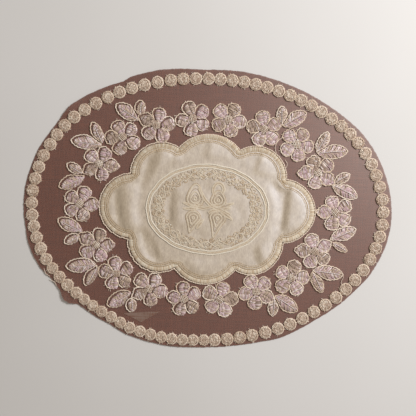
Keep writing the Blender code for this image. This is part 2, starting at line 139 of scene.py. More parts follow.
def add(look, kind, settings=(), links=(), stops=()):
    """Adds one node to a material, with its settings and its inputs' links, each by name or number, and
    for a colour ramp its stops: places from 0 to 1, each with a hex colour."""
    made = look.node_tree.nodes.new("ShaderNode" + kind)
    for name, value in dict(settings).items():
        if isinstance(name, int) or name in made.inputs:
            made.inputs[name].default_value = value
        else:
            setattr(made, name, value)
    for name, source in dict(links).items():
        look.node_tree.links.new(source, made.inputs[name])
    for number, (place, colour) in enumerate(stops):
        stop = made.color_ramp.elements[number] if number < 2 else made.color_ramp.elements.new(place)
        stop.position, stop.color = place, linear(colour)
    return made


def new_look(name, **sockets):
    """A material with its Principled shader's plain numbers set, and that shader."""
    look = bpy.data.materials.new(name)
    look.use_nodes = True
    shader = look.node_tree.nodes["Principled BSDF"]
    for socket, value in sockets.items():
        shader.inputs[socket.replace("_", " ")].default_value = value
    return look, shader


def make_piece(name, parts, look):
    """One object from parts of (points, faces, tone). A tone, for all or for each point, tells threads
    apart in a material."""
    points, faces, tones = [], [], []
    first = 0
    for part_points, part_faces, tone in parts:
        points.append(part_points)
        faces += [tuple(first + corner for corner in face) for face in part_faces]
        tones.append(np.broadcast_to(tone, len(part_points)))
        first += len(part_points)
    mesh = bpy.data.meshes.new(name)
    mesh.from_pydata(((np.concatenate(points) - ORIGIN) * 0.001).tolist(), [], faces)
    mesh.attributes.new("tone", "FLOAT", "POINT").data.foreach_set("value", np.concatenate(tones).astype("f"))
    mesh.shade_smooth()
    mesh.set_sharp_from_angle(angle=math.radians(SHARP_EDGE))
    mesh.materials.append(look)
    made = bpy.data.objects.new(name, mesh)
    bpy.context.scene.collection.objects.link(made)
    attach(made, "root")
    return made


def streaks(look, along_x, along_y, seed):
    """Long soft streaks of yarn: a noise whose patches are so many mm long along X and along Y."""
    place = add(look, "TexCoord").outputs["Object"]
    drawn_out = {"Scale": (1000 / along_x, 1000 / along_y, 1.0), "Location": (seed, 0.0, 0.0)}
    place = add(look, "Mapping", drawn_out, {"Vector": place}).outputs["Vector"]
    return add(look, "TexNoise", {"Scale": 1.0, "Detail": 2.0}, {"Vector": place}).outputs["Fac"]


def mean_of(look, first, second):
    """The mean of two patterns."""
    both = add(look, "Math", {"operation": "ADD"}, {0: first, 1: second}).outputs[0]
    return add(look, "Math", {"operation": "MULTIPLY", 1: 0.5}, {0: both}).outputs[0]


# Polyester organza, plain woven and stiffened: a dull, even veil with fine yarn lines both ways. Its
# yarns are 0.15 mm apart, too fine to show, so they are drawn as streaks about 1 mm apart. Its IOR is
# above a polyester's 1.6 for the glints that so many round yarns give it.
ORGANZA_ALPHA = 0.6  # of each face, so that the two together hide about five sixths
ORGANZA, organza_shader = new_look(
    "mauve_organza", Roughness=0.5, Alpha=ORGANZA_ALPHA, IOR=2.0, Specular_IOR_Level=0.9
)
organza_shader.inputs["Specular Tint"].default_value = linear("fff5ea")
organza_yarn = mean_of(ORGANZA, streaks(ORGANZA, 1.1, 24.0, 0.0), streaks(ORGANZA, 30.0, 1.3, 5.0))
organza_tone = add(ORGANZA, "Attribute", {"attribute_name": "tone"}).outputs["Fac"]
organza_shade = add(ORGANZA, "Math", {"operation": "ADD"}, {0: organza_yarn, 1: organza_tone}).outputs[0]
# mauve as a single cloth, then greyer and paler for the tone of the double one
ORGANZA_STOPS = ((0.3, "5c2410"), (0.5, "6c2b13"), (0.7, "803c20"), (0.8, "86604e"), (1.0, "a68c80"))
organza_colour = add(ORGANZA, "ValToRGB", links={"Fac": organza_shade}, stops=ORGANZA_STOPS)
ORGANZA.node_tree.links.new(organza_colour.outputs["Color"], organza_shader.inputs["Base Color"])
organza_bump = add(ORGANZA, "Bump", {"Strength": 0.25, "Distance": 0.0002}, {"Height": organza_yarn})
ORGANZA.node_tree.links.new(organza_bump.outputs["Normal"], organza_shader.inputs["Normal"])


def organza_sheet():
    """The cloth as rows of points from its middle out: flat, then tilting up to a slightly ragged edge."""
    stations = [i / STATIONS_PER_DOT for i in range(DOT_COUNT * STATIONS_PER_DOT)]
    rows = [[rim_point(at, -RIM_FOLD) * share for at in stations] for share in FLAT_ROWS]
    lifts = [[0.0] * len(stations) for _ in rows]
    for share in RIM_ROWS:
        row, lift = [], []
        for at in stations:
            reach = -RIM_FOLD + share * (RIM_FOLD + cut_reach(at))
            if share == 1.0:
                reach += draw.uniform(*RAGGED)
            row.append(rim_point(at, reach))
            lift.append(rim_slope(at) * (reach + RIM_FOLD))
        rows.append(row)
        lifts.append(lift)
    count = len(stations)
    under = [(0.0, 0.0, CLOTH_BOTTOM)]
    over = [(0.0, 0.0, CLOTH_TOP)]
    for row, lift in zip(rows, lifts):
        under += [(p.x, p.y, h + CLOTH_BOTTOM) for p, h in zip(row, lift)]
        over += [(p.x, p.y, h + CLOTH_TOP) for p, h in zip(row, lift)]
    faces, above = [], len(under)
    for i in range(count):
        j = (i + 1) % count
        faces += [(0, 1 + j, 1 + i), (above, above + 1 + i, above + 1 + j)]
        for row in range(len(rows) - 1):
            a, b = 1 + row * count, 1 + (row + 1) * count
            faces.append((a + i, a + j, b + j, b + i))
            faces.append((above + a + i, above + b + i, above + b + j, above + a + j))
        rim = 1 + (len(rows) - 1) * count
        faces.append((rim + i, rim + j, above + rim + j, above + rim + i))
    return np.array(under + over), faces, 0.0


# A small pleat pressed flat near the lower left, where the cloth is double and so paler: its corners
TUCK = ((-45.4, -114.3), (-87.1, -118.1), (-77.0, -122.5), (-66.9, -127.3))
TUCK_FOOT, TUCK_TOP = 0.02, 0.3  # its heights over the cloth
TUCK_TONE = 0.32
tuck = [(x, y, CLOTH_TOP + up) for up in (TUCK_FOOT, TUCK_TOP) for x, y in TUCK]
tuck_faces = [(0, 3, 2, 1), (4, 5, 6, 7)] + [(i, (i + 1) % 4, 4 + (i + 1) % 4, 4 + i) for i in range(4)]
organza_parts = [organza_sheet(), (np.array(tuck), tuck_faces, TUCK_TONE)]
organza = make_piece("organza_cloth", organza_parts, ORGANZA)
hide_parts("organza_ground")

# ----------------------------------------------------------------------------- the chain of dots
# Eighty embroidered wheels along the rim, machine made in one run. Each is a ring of twisted cream cord
# around rose-beige satin stitches, laid like spokes to a small ring of thread in the middle.

CORD_THICK = 1.3
CORD_HIGH = CORD_THICK * 0.9  # a cord is pressed a little flat where it is sewn down
FINE_STEP = 0.55  # a cord's points are this far apart, enough to show its twist
TWIST = 68.0  # degrees for each mm: a two-ply cord with a turn every 5 mm
ANY_ANGLE = (0, 6.28)  # radians, a full turn
CROWDED_RADIUS = 5.8  # the smallest dot, where the puckered rim crowds them and tips them on edge
CROWDED_SHARE = 0.535  # a crowded dot's radius, as a share of the way from dot to dot
CORNERS = (7, 8, 9)  # a dot is sewn as a rounded polygon with so many corners
CORNER_DEPTH = 0.018  # as a share of its radius
SPOKES = 18
SPOKE_WIDTHS = (1.0, 1.5)  # of the inner and the outer stitch of a spoke
SPOKE_FLARE = 1.35  # a spoke's stitches widen outward to so many times their width
SPOKE_FOOT, SPOKE_RISE = 0.45, 0.85  # height over the cloth at a stitch's ends, and its rise from there
SPOKE_END = CORD_THICK * 0.8  # the spokes end this far inside a dot's edge, under its cord
SPOKE_STRAY = 0.2  # a spoke stands off its even place by up to this share of the way to the next
SPOKE_CUTS = (0.4, 0.7)  # where its two stitches meet, as a share of the way out to the dot's edge
HUBS = (1.5, 2.0, 2.3)  # radii of the ring in a dot's middle
HUB_HEIGHT, HUB_THICK = 1.2, 0.9
HUB_LAP = 0.3  # the spokes start this far inside that ring
KNOT_RADIUS, KNOT_THICK = 0.7, 1.1  # of the loop inside it
BED_SIDES = 16
BED_FOOT, BED_THICK = 0.1, 0.85
BED_INSET = CORD_THICK * 0.7
BED_TONE = 0.2
DOT_CORD_TONES, SPOKE_TONES = (0.05, 0.35), (0.15, 0.7)
HUB_TONES, KNOT_TONES = (0.35, 0.65), (0.2, 0.65)


def thread(line, wide, high, tone, twist=0.0, closed=False, sides=6, size=None):
    """A thread or cord led along a line of points, as a part. Its section is an oval, wide and high."""
    line = np.asarray(line, float)
    count = len(line)
    ahead = np.roll(line, -1, 0) - np.roll(line, 1, 0)
    if not closed:
        ahead[0], ahead[-1] = line[1] - line[0], line[-1] - line[-2]
    ahead /= np.linalg.norm(ahead, axis=1, keepdims=True)
    side = np.cross(ahead, (0.0, 0.0, 1.0))
    side /= np.linalg.norm(side, axis=1, keepdims=True)
    up = np.cross(side, ahead)
    steps = np.linalg.norm(np.roll(line, -1, 0) - line, axis=1)
    run = np.concatenate([[0.0], np.cumsum(steps)[:-1]])
    if closed and twist:
        twist = max(1, round(twist * steps.sum() / 360)) * 360 / steps.sum()
    turn = np.radians(twist * run)[:, None]
    at = np.arange(sides) * 2 * math.pi / sides
    a, b = np.cos(at) * wide / 2, np.sin(at) * high / 2
    grow = np.ones((count, 1)) if size is None else np.asarray(size, float)[:, None]
    across = (a * np.cos(turn) - b * np.sin(turn)) * grow
    over = (a * np.sin(turn) + b * np.cos(turn)) * grow
    points = line[:, None] + across[..., None] * side[:, None] + over[..., None] * up[:, None]
    faces = []
    for i in range(count if closed else count - 1):
        here, there = i * sides, (i + 1) % count * sides
        for k in range(sides):
            after = (k + 1) % sides
            faces.append((here + k, there + k, there + after, here + after))
    if not closed:
        faces += [tuple(range(sides)), tuple(range(count * sides - 1, (count - 1) * sides - 1, -1))]
    return points.reshape(-1, 3), faces, tone


# A satin stitch along its length: places, then the share of its rise and of its width there
STITCH_RUN = np.array((0.0, 0.14, 0.5, 0.86, 1.0))
STITCH_ARCH = np.array((0.0, 0.72, 1.0, 0.72, 0.0))
STITCH_SIZE = np.array((0.55, 0.95, 1.0, 0.95, 0.55))


def stitch(start, end, wide, floor, rise, tone, high=0.75, flare=1.0):
    """One satin stitch: a bundle of thread that comes up at start, lies over and goes down at end."""
    start, end = np.array(start, float), np.array(end, float)
    flat = start + (end - start) * STITCH_RUN[:, None]
    size = STITCH_SIZE * (1 + (flare - 1) * STITCH_RUN)
    return thread(np.column_stack([flat, STITCH_ARCH * rise + floor]), wide, high, tone, sides=5, size=size)


def heading(at):
    """The direction at an angle."""
    return Vector((math.cos(at), math.sin(at)))


def ringlet(place, radius, thick, tone, steps, uneven):
    """A small closed loop of thread lying flat around a place."""
    x, y, z = place
    loop = []
    for i in range(steps):
        at = 2 * math.pi * i / steps
        reach = radius * (1 + uneven * draw.uniform(-1, 1))
        loop.append((x + reach * math.cos(at), y + reach * math.sin(at), z))
    return thread(loop, thick, thick, tone, closed=True, sides=5)


def cushion_faces(count):
    """Faces of a low cushion: a bottom and a top, each a middle point and a ring of points, and its side."""
    faces, over = [], count + 1
    for i in range(count):
        here, there = 1 + i, 1 + (i + 1) % count
        faces += [(0, there, here), (over, over + here, over + there)]
        faces.append((here, there, over + there, over + here))
    return faces


def spun_thread(name, per_mm, detail, mottle, stops, bump=0.0, **sockets):
    """A thread's material. Its colour runs along the stops with each thread's tone and a mottle, which has
    so many patches to the mm, and bump gives the mottle some relief, its darker patches lower as painted
    shade."""
    look, shader = new_look(name, **sockets)
    tone = add(look, "Attribute", {"attribute_name": "tone"}).outputs["Fac"]
    place = add(look, "TexCoord").outputs["Object"]
    grain = {"Scale": 1000 * per_mm, "Detail": detail}
    spots = add(look, "TexNoise", grain, {"Vector": place}).outputs["Fac"]
    shade = add(look, "Math", {"operation": "MULTIPLY_ADD", 1: mottle}, {0: spots, 2: tone}).outputs[0]
    colour = add(look, "ValToRGB", links={"Fac": shade}, stops=stops).outputs["Color"]
    look.node_tree.links.new(colour, shader.inputs["Base Color"])
    if bump:
        relief = add(look, "Bump", {"Strength": bump, "Distance": 0.0002}, {"Height": spots})
        look.node_tree.links.new(relief.outputs["Normal"], shader.inputs["Normal"])
    return look


# Mercerised cotton cord: cream, with a soft shine and, every 1.4 mm, a hollow between its plies painted
# darker as shade.
CREAM = spun_thread(
    "cream_cotton_cord", per_mm=0.7, detail=2.0, mottle=0.5, bump=0.4,
    stops=((0.2, "b09376"), (0.45, "dac3a9"), (0.75, "efdeca"), (1.0, "faf2e5")),
    Roughness=0.62, IOR=1.5, Sheen_Weight=0.25,
)

# Rayon embroidery thread in rose beige: silkier than the cord, its shade changing from stitch to stitch.
# Its filaments are too fine to show; the mottle is as wide as a stitch.
ROSE = spun_thread(
    "rose_beige_rayon", per_mm=0.8, detail=1.0, mottle=0.3,
    stops=((0.1, "967a66"), (0.4, "b69c86"), (0.7, "ccb8a2"), (1.0, "e8dccb")),
    Roughness=0.5, IOR=1.5, Sheen_Weight=0.3,
)


def dot_radius(dot):
    """A dot's radius, less where the dots are crowded."""
    pitch = (rim_point(dot + 0.5) - rim_point(dot - 0.5)).length
    return min(DOT_RADIUS, max(CROWDED_RADIUS, CROWDED_SHARE * pitch))


def dot_seat(dot):
    """A dot's middle, and a function that puts an offset from it, at a height, on the tilted rim."""
    middle, slope = rim_point(dot), rim_slope(dot)
    outward = (rim_point(dot, 1.0) - middle).normalized()
    floor = CLOTH_TOP + slope * RIM_FOLD

    def seat(offset, up):
        """The place at an offset from the dot's middle and a height over the rim."""
        return (*(middle + offset), floor + slope * offset.dot(outward) + up)

    return middle, seat


def dot_cord(seat, radius):
    """The ring of cord around a dot."""
    corners, phase = draw.choice(CORNERS), draw.uniform(*ANY_ANGLE)
    steps = round(2 * math.pi * radius / FINE_STEP)
    loop = []
    for i in range(steps):
        at = 2 * math.pi * i / steps
        reach = (radius - CORD_THICK / 2) * (1 + CORNER_DEPTH * math.cos(corners * at + phase))
        loop.append(seat(heading(at) * reach, CORD_THICK / 2))
    return thread(loop, CORD_THICK, CORD_HIGH, draw.uniform(*DOT_CORD_TONES), TWIST, closed=True)


def dot_wheel(middle, seat, radius):
    """A dot's spokes, each two stitches long, the two rings in its middle, and the bed under them."""
    start, hub = draw.uniform(*ANY_ANGLE), draw.choice(HUBS)
    rim = radius - SPOKE_END
    parts = []
    for i in range(SPOKES):
        way = heading(start + 2 * math.pi * (i + draw.uniform(-SPOKE_STRAY, SPOKE_STRAY)) / SPOKES)
        cut = hub + (radius - hub) * draw.uniform(*SPOKE_CUTS)
        for inner, outer, wide in zip((hub - HUB_LAP, cut), (cut, rim), SPOKE_WIDTHS):
            begin, finish = middle + way * inner, middle + way * outer
            thick = wide * draw.uniform(0.8, 1.1)
            floor = seat(way * (inner + outer) / 2, SPOKE_FOOT)[2]
            rise, tone = SPOKE_RISE + draw.uniform(-0.15, 0.3), draw.uniform(*SPOKE_TONES)
            flare = wide * SPOKE_FLARE / thick
            parts.append(stitch(begin, finish, thick, floor, rise, tone, flare=flare))
    top = seat(Vector((0.0, 0.0)), HUB_HEIGHT)
    parts.append(ringlet(top, hub, HUB_THICK, draw.uniform(*HUB_TONES), steps=10, uneven=0.12))
    parts.append(ringlet(top, KNOT_RADIUS, KNOT_THICK, draw.uniform(*KNOT_TONES), steps=7, uneven=0.2))
    ring = [Vector((0.0, 0.0))] + [heading(2 * math.pi * i / BED_SIDES) for i in range(BED_SIDES)]
    low = [seat(way * (radius - BED_INSET), BED_FOOT) for way in ring]
    bed = low + [(x, y, z + BED_THICK) for x, y, z in low]
    parts.append((np.array(bed), cushion_faces(BED_SIDES), BED_TONE))
    return parts


dot_cords, dot_wheels = [], []
for dot in range(DOT_COUNT):
    middle, seat = dot_seat(dot)
    radius = dot_radius(dot)
    dot_cords.append(dot_cord(seat, radius))
    dot_wheels += dot_wheel(middle, seat, radius)
dots = make_piece("dot_wheels", dot_wheels, ROSE)
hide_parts("dot_edging")
make_piece("dot_cords", dot_cords, CREAM)

# ----------------------------------------------------------------------------- the garland's flowers
# Eighteen five-petalled flowers, machine embroidered through the organza. Every petal is outlined with
# cream cord and filled with short satin stitches in lilac, pearl and grey; crossed threads are its eye.

EYE_TO_PETAL = 12.3  # from a flower's middle to the middle of a petal's round end
PETAL_RADIUS = 7.6
PETAL_POINT = 2.6  # how much further a pointed petal reaches
PETAL_START = 2.6  # from a flower's middle to the inner end of a petal
PETAL_SPREAD = 7.0  # half a petal's width
PETAL_EGG = 0.34  # how much wider it is towards its outer end
PETAL_TAPER = 0.3  # how much a pointed petal narrows towards its tip
PETAL_STEPS = 24
PETAL_SCALES = (0.94, 1.05)  # a petal's own size
PETAL_TURN = 3.0  # degrees that it may stand off its even place
PETAL_UNEVEN = (0.98, 1.02)  # how far out each of its points was sewn, as a share
PETAL_CORD_SPAN = 130.0  # degrees around a petal, each way from its tip, that its cord covers
THREAD_GAP = 0.7  # between the cords of two forms that meet
COUCHING = 3.4  # the cord bulges between the stitches that hold it, so far apart
COUCHING_BULGE = 0.22
COUCHED_TWIST = 20.0  # degrees for each mm, less than at the dots
PETAL_CORD_STRAY = 0.13  # how far its points stray
END_SINK, END_RUN = 0.25, 1.2  # a cord's ends go down by this, over about this length
LOWEST_CORD = CORD_THICK * 0.55  # a cord's middle is nowhere lower than this over the table
ROW_SPACING = 0.85  # between two rows of satin stitches
ROW_LEAN = 32.0  # degrees that a petal's rows may lean from square across it
ROW_SPLITS = 3  # stitches in a row that is long enough for it
LONG_ROW = 3.0
SHORT_ROW = 0.6  # a shorter one is left out
FILL_FOOT = 0.35  # height over the cloth of a stitch's ends
FILL_LAP = 0.15  # how far one stitch laps over the next
FILL_WIDTHS, FILL_ARCHES = (0.75, 1.1), (0.8, 1.1)  # widths of the stitches, shares of their rise
PALE = 0.1  # share of stitches that are pearl white
PEARL = (0.7, 0.9)  # their tones
MISSED = 0.06  # share of stitches left out or worn away, where the organza shows
PADDING_FOOT, PADDING_TOP, PADDING_SHOULDER = 0.05, 0.6, 0.2  # the underlay's heights and its edge's drop
PETAL_BED_INSET = 0.2  # it ends this far inside the stitches
PETAL_BED_DARKER = 0.4  # its tone is this far below the middle of theirs
SLID_DOWN = 0.55  # how far a cord on the left half is pressed down where the fill has slid over it
SLID_WAY = (0.85, -0.53)  # the way it slid
# How the fills lie on each half of the cloth: how far they have slid along X and Y, how far from the
# cord they end, how high they rise; then the limits of the cord's tone
PETAL_LIE = {
    "left": ((1.6, -1.0), 1.2, 0.85, (0.15, 0.45)),
    "right": ((0.5, -0.4), 0.9, 0.65, (0.1, 0.45)),
}
# Shades of a petal's thread, as tone limits: grey olive, lilac, and pearl
PETAL_SHADES = ((0.0, 0.45), (0.05, 0.6), (0.05, 0.75), (0.15, 0.8), (0.25, 0.8), (0.3, 0.75))
NEIGHBOURS = 45.0  # flowers nearer than this may meet
EYE_RADIUS = 4.9  # of the crossed threads over a flower's middle
EYE_MESH = 1.75  # between two of them
EYE_FOOT, EYE_RISE = 0.9, 0.95  # their height over the cloth at the ends, and their rise to the middle
EYE_WEAVE = 0.12  # how far they go up and down as they cross
EYE_THREADS = range(-2, 3)  # five each way
EYE_THREAD_WIDE, EYE_THREAD_HIGH = 0.8, 0.7
EYE_PADDING = ((2.4, 1.3), (4.3, 0.75), (4.3, 0.05))  # the padding's rings: radius, height over the cloth
EYE_PADDING_TOP = 1.5
EYE_SIDES = 12
EYE_PADDING_TONE = -0.4
EYE_CROSSING = (1.3, 1.75)  # radians between its two ways
# A quarter of the garland, mirrored into the others: middle x, y, turn of the first petal in degrees,
# and which petals end in a point
FLOWERS = (
    (19.6, 98.8, 353.0, (0,)),
    (59.2, 89.7, 26.0, (0, 2)),
    (95.9, 74.4, 352.0, ()),
    (120.1, 44.2, 328.0, (0, 3)),
    (140.3, 0.0, 36.0, (2,)),
)
# How the garland has drifted as the cloth lies: place around the oval in degrees, along X, along Y
DRIFT = (
    (0.0, 1.4, 1.4), (30.0, 0.5, 0.4), (65.0, 0.9, 0.0), (98.0, 1.0, -0.6), (134.0, 1.1, 1.3),
    (160.0, 0.5, 0.5), (185.0, 1.2, 0.0), (226.0, 0.0, -0.1), (262.0, -1.0, -1.0), (296.0, -0.9, 1.0),
    (320.0, 0.4, 2.0), (340.0, 0.8, 1.9), (360.0, 1.4, 1.4),
)
DRIFT_X, DRIFT_Y = 1, 2  # its columns, and those of the satin's drift


def drifted(point):
    """A point of the garland, moved as the cloth has drifted there."""
    place = math.degrees(math.atan2(point.y / RING_HALF_WIDTH, point.x / RING_HALF_LENGTH)) % 360.0
    return point + Vector((eased(DRIFT, DRIFT_X, place), eased(DRIFT, DRIFT_Y, place)))


def garland_flowers():
    """Every flower: its middle and its petals' turns, from the quarter chart and its mirror images."""
    flowers = []
    for x, y, turn, points in FLOWERS:
        for flip_x in (1, -1):
            for flip_y in (1, -1) if y else (1,):
                petals = []
                for k in range(5):
                    at = math.radians(turn + 72.0 * k)
                    at = math.atan2(flip_y * math.sin(at), flip_x * math.cos(at))
                    petals.append((math.degrees(at) % 360.0, k in points))
                petals.sort()
                flowers.append((drifted(Vector((flip_x * x, flip_y * y))), petals))
    return flowers


def smooth_loop(points, step, closed=True):
    """A smooth line through some points, with its own points evenly spaced."""
    points = np.asarray([tuple(p) for p in points], float)
    if closed:
        a, b, c, d = (np.roll(points, shift, 0) for shift in (1, 0, -1, -2))
    else:
        ends = np.vstack([2 * points[0] - points[1], points, 2 * points[-1] - points[-2]])
        a, b, c, d = ends[:-3], ends[1:-2], ends[2:-1], ends[3:]
    t = np.linspace(0, 1, 12, endpoint=False)[None, :, None]
    a, b, c, d = (x[:, None] for x in (a, b, c, d))
    curve = 0.5 * (2 * b + (c - a) * t + (2 * a - 5 * b + 4 * c - d) * t**2 + (3 * b - a - 3 * c + d) * t**3)
    curve = curve.reshape(-1, points.shape[1])
    curve = np.vstack([curve, curve[:1] if closed else points[-1:]])
    run = np.concatenate([[0.0], np.cumsum(np.linalg.norm(np.diff(curve, axis=0), axis=1))])
    count = max(3, round(run[-1] / step))
    at = np.linspace(0, run[-1], count, endpoint=False) if closed else np.linspace(0, run[-1], count + 1)
    return np.column_stack([np.interp(at, run, column) for column in curve.T])


def wander(line, by):
    """A random shift for each point of a line, along X and Y."""
    return np.array([[draw.uniform(-by, by) for _ in "xy"] for _ in line])


def drawn_in(loop, by):
    """A closed anticlockwise line moved inwards."""
    ahead = np.roll(loop, -1, 0) - np.roll(loop, 1, 0)
    ahead /= np.linalg.norm(ahead, axis=1, keepdims=True)
    return loop + np.column_stack([-ahead[:, 1], ahead[:, 0]]) * by


def crossings(loop, at, along):
    """How far along a straight line it enters and leaves a closed outline, or None."""
    along = np.asarray(along, float)
    normal = np.array((-along[1], along[0]))
    off, run = (loop - at) @ normal, (loop - at) @ along
    off_next, run_next = np.roll(off, -1), np.roll(run, -1)
    crossed = (off < 0) != (off_next < 0)
    if not crossed.any():
        return None
    share = off[crossed] / (off[crossed] - off_next[crossed])
    places = run[crossed] + share * (run_next[crossed] - run[crossed])
    return places.min(), places.max()


def padding(loop, margin, shift, tone):
    """The flat underlay of a filled form, a little inside its outline."""
    bed = drawn_in(loop, margin) + shift
    count = len(bed)
    low = np.column_stack([np.vstack([bed.mean(0), bed]), np.full(count + 1, CLOTH_TOP + PADDING_FOOT)])
    top = low + (0.0, 0.0, PADDING_TOP - PADDING_FOOT)
    top[1:, 2] -= PADDING_SHOULDER
    return np.vstack([low, top]), cushion_faces(count), tone


def stitch_tone(shades):
    """A stitch's tone: within its form's limits or, now and then, pearl white."""
    return draw.uniform(*shades) if draw.random() > PALE else draw.uniform(*PEARL)


def satin_fill(loop, lean, rise, shades, shift, margin):
    """Rows of satin stitches across an outline, the longer rows each of several stitches."""
    middle = loop.mean(0)
    along = np.array((math.cos(lean), math.sin(lean)))
    normal = np.array((-along[1], along[0]))
    off = (loop - middle) @ normal
    stitches, at = [], off.min() + margin + ROW_SPACING / 3
    while at < off.max() - margin:
        where = middle + normal * at
        ends = crossings(loop, where, along)
        if ends and ends[1] - ends[0] > 2 * margin + SHORT_ROW:
            low, high = ends[0] + margin, ends[1] - margin
            cuts = [low, high]
            if high - low > LONG_ROW:
                shares = [(k + draw.uniform(0.25, 0.75)) / ROW_SPLITS for k in range(ROW_SPLITS - 1)]
                cuts[1:1] = sorted(low + (high - low) * share for share in shares)
            for begin, finish in zip(cuts, cuts[1:]):
                slant = normal * draw.uniform(-0.25, 0.25)
                if draw.random() < MISSED:
                    continue
                tone = stitch_tone(shades)
                start = where + along * (begin - FILL_LAP) + shift - slant
                end = where + along * (finish + FILL_LAP) + shift + slant
                wide, arch = draw.uniform(*FILL_WIDTHS), rise * draw.uniform(*FILL_ARCHES)
                stitches.append(stitch(start, end, wide, CLOTH_TOP + FILL_FOOT, arch, tone))
        at += ROW_SPACING * draw.uniform(0.85, 1.15)
    return stitches


# Rayon embroidery thread in lilac, pearl and grey: the silkiest here, shading from stitch to stitch.
# Its filaments are too fine to show; the mottle is as wide as a stitch.
LILAC = spun_thread(
    "lilac_pearl_rayon", per_mm=1.1, detail=2.0, mottle=0.48,
    stops=(
        (0.2, "8a7262"), (0.4, "a68d7b"), (0.57, "c3ad93"), (0.7, "bc9f9a"), (0.85, "c6a5aa"),
        (0.93, "cfb7b4"), (1.0, "e2d3cc"),
    ),
    Roughness=0.52, IOR=1.48, Sheen_Weight=0.35,
)


def petal_loop(turn, pointed):
    """The middle of a petal's cord, around the flower's middle."""
    points = []
    tip = EYE_TO_PETAL + PETAL_RADIUS - CORD_THICK / 2
    middle, half = (PETAL_START + tip) / 2, (tip - PETAL_START) / 2
    direction = heading(math.radians(turn))
    for i in range(PETAL_STEPS):
        at = 2 * math.pi * i / PETAL_STEPS
        far = max(0.0, math.cos(at))
        out = middle + half * math.cos(at) + pointed * PETAL_POINT * far**9
        across = PETAL_SPREAD * math.sin(at) * (1 + PETAL_EGG * math.cos(at))
        across *= 1 - PETAL_TAPER * pointed * far**3
        points.append(direction * out + Vector((-direction.y, direction.x)) * across)
    return points


def held_back(point, middle, others):
    """A point of a flower's outline, stopped at the line midway to a flower that it meets."""
    way = point - middle
    for other in others:
        far = (other - middle).length
        over = way.dot((other - middle) / far) - (far / 2 - THREAD_GAP / 2 - CORD_THICK / 2)
        if over > 0:
            point = point - (other - middle) / far * over
    return point


def petal(middle, others, turn, pointed, shades):
    """A petal: its cord, and its underlay with the satin stitches on it."""
    left = middle.x < 0
    shift, margin, rise, cord_tone = PETAL_LIE["left" if left else "right"]
    scale = draw.uniform(*PETAL_SCALES)
    outline = petal_loop(turn + draw.uniform(-PETAL_TURN, PETAL_TURN), pointed)
    rough = [held_back(middle + p * scale * draw.uniform(*PETAL_UNEVEN), middle, others) for p in outline]
    loop = smooth_loop(rough, FINE_STEP)
    reach = round(PETAL_CORD_SPAN * len(rough) / 360)
    line = smooth_loop([rough[i] for i in range(-reach, reach + 1)], FINE_STEP, closed=False)
    places = np.arange(len(line))
    from_end = np.minimum(places, places[::-1]) * FINE_STEP
    height = CLOTH_TOP + CORD_THICK / 2 + draw.uniform(0.0, 0.25)
    height = height - END_SINK * np.exp(-from_end / END_RUN)
    if left:
        height -= SLID_DOWN * np.clip((line - loop.mean(0)) @ SLID_WAY / PETAL_SPREAD, 0.0, 1.0)
    height = np.maximum(height, LOWEST_CORD)
    bulge = COUCHING_BULGE * np.sin(places * 2 * math.pi * FINE_STEP / COUCHING + draw.uniform(*ANY_ANGLE))
    couched = line + (line - loop.mean(0)) / PETAL_SPREAD * bulge[:, None]
    couched = couched + wander(line, PETAL_CORD_STRAY)
    line = np.column_stack([couched, height])
    cord = thread(line, CORD_THICK, CORD_HIGH, draw.uniform(*cord_tone), COUCHED_TWIST)
    lean = math.radians(turn + 90 + draw.uniform(-ROW_LEAN, ROW_LEAN))
    fill = [padding(loop[::3], margin + PETAL_BED_INSET, shift, sum(shades) / 2 - PETAL_BED_DARKER)]
    fill += satin_fill(loop[::2], lean, rise, shades, shift, margin)
    return cord, fill


def eye(middle):
    """A flower's eye: a low round padding, and threads led over it one way and then across."""
    places = [(*middle, CLOTH_TOP + EYE_PADDING_TOP)]
    for reach, rise in EYE_PADDING:
        for i in range(EYE_SIDES):
            x, y = middle + heading(2 * math.pi * i / EYE_SIDES) * reach
            places.append((x, y, CLOTH_TOP + rise))
    faces = [tuple(range(3 * EYE_SIDES, 2 * EYE_SIDES, -1))]
    for i in range(EYE_SIDES):
        j = (i + 1) % EYE_SIDES
        faces.append((0, 1 + i, 1 + j))
        for k in (1, 1 + EYE_SIDES):
            faces.append((k + i, k + EYE_SIDES + i, k + EYE_SIDES + j, k + j))
    parts = [(np.array(places), faces, EYE_PADDING_TONE)]
    turned = draw.uniform(0.0, 1.5)
    for way in (turned, turned + draw.uniform(*EYE_CROSSING)):
        along = heading(way)
        across = Vector((-along.y, along.x))
        for k in EYE_THREADS:
            off = EYE_MESH * k + draw.uniform(-0.25, 0.25)
            half = math.sqrt(EYE_RADIUS**2 - off**2) * draw.uniform(0.9, 1.05)
            line = []
            for i in range(9):
                run = half * (i / 4 - 1)
                place = middle + along * run + across * (off + draw.uniform(-0.15, 0.15))
                away = (place - middle).length / EYE_RADIUS
                rise = EYE_RISE * max(0.0, 1 - away**2) + EYE_WEAVE * (-1) ** (i + k)
                line.append((*place, CLOTH_TOP + EYE_FOOT + rise))
            parts.append(thread(line, EYE_THREAD_WIDE, EYE_THREAD_HIGH, draw.uniform(0.1, 0.8)))
    return parts


FLOWER_LIST = garland_flowers()
petal_cords, eyes = [], []
for number, (middle, petals) in enumerate(FLOWER_LIST, start=1):
    others = [other for other, _ in FLOWER_LIST if 0.0 < (other - middle).length < NEIGHBOURS]
    stitches = []
    for (turn, pointed), shades in zip(petals, draw.sample(PETAL_SHADES, len(petals))):
        cord, fill = petal(middle, others, turn, pointed, shades)
        petal_cords.append(cord)
        stitches += fill
    eyes += eye(middle)
    flower = make_piece(f"flower_stitches_{number:02d}", stitches, LILAC)
    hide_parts(f"flower_{number:02d}")
make_piece("petal_cords", petal_cords, CREAM)
make_piece("flower_eye_nets", eyes, ROSE)

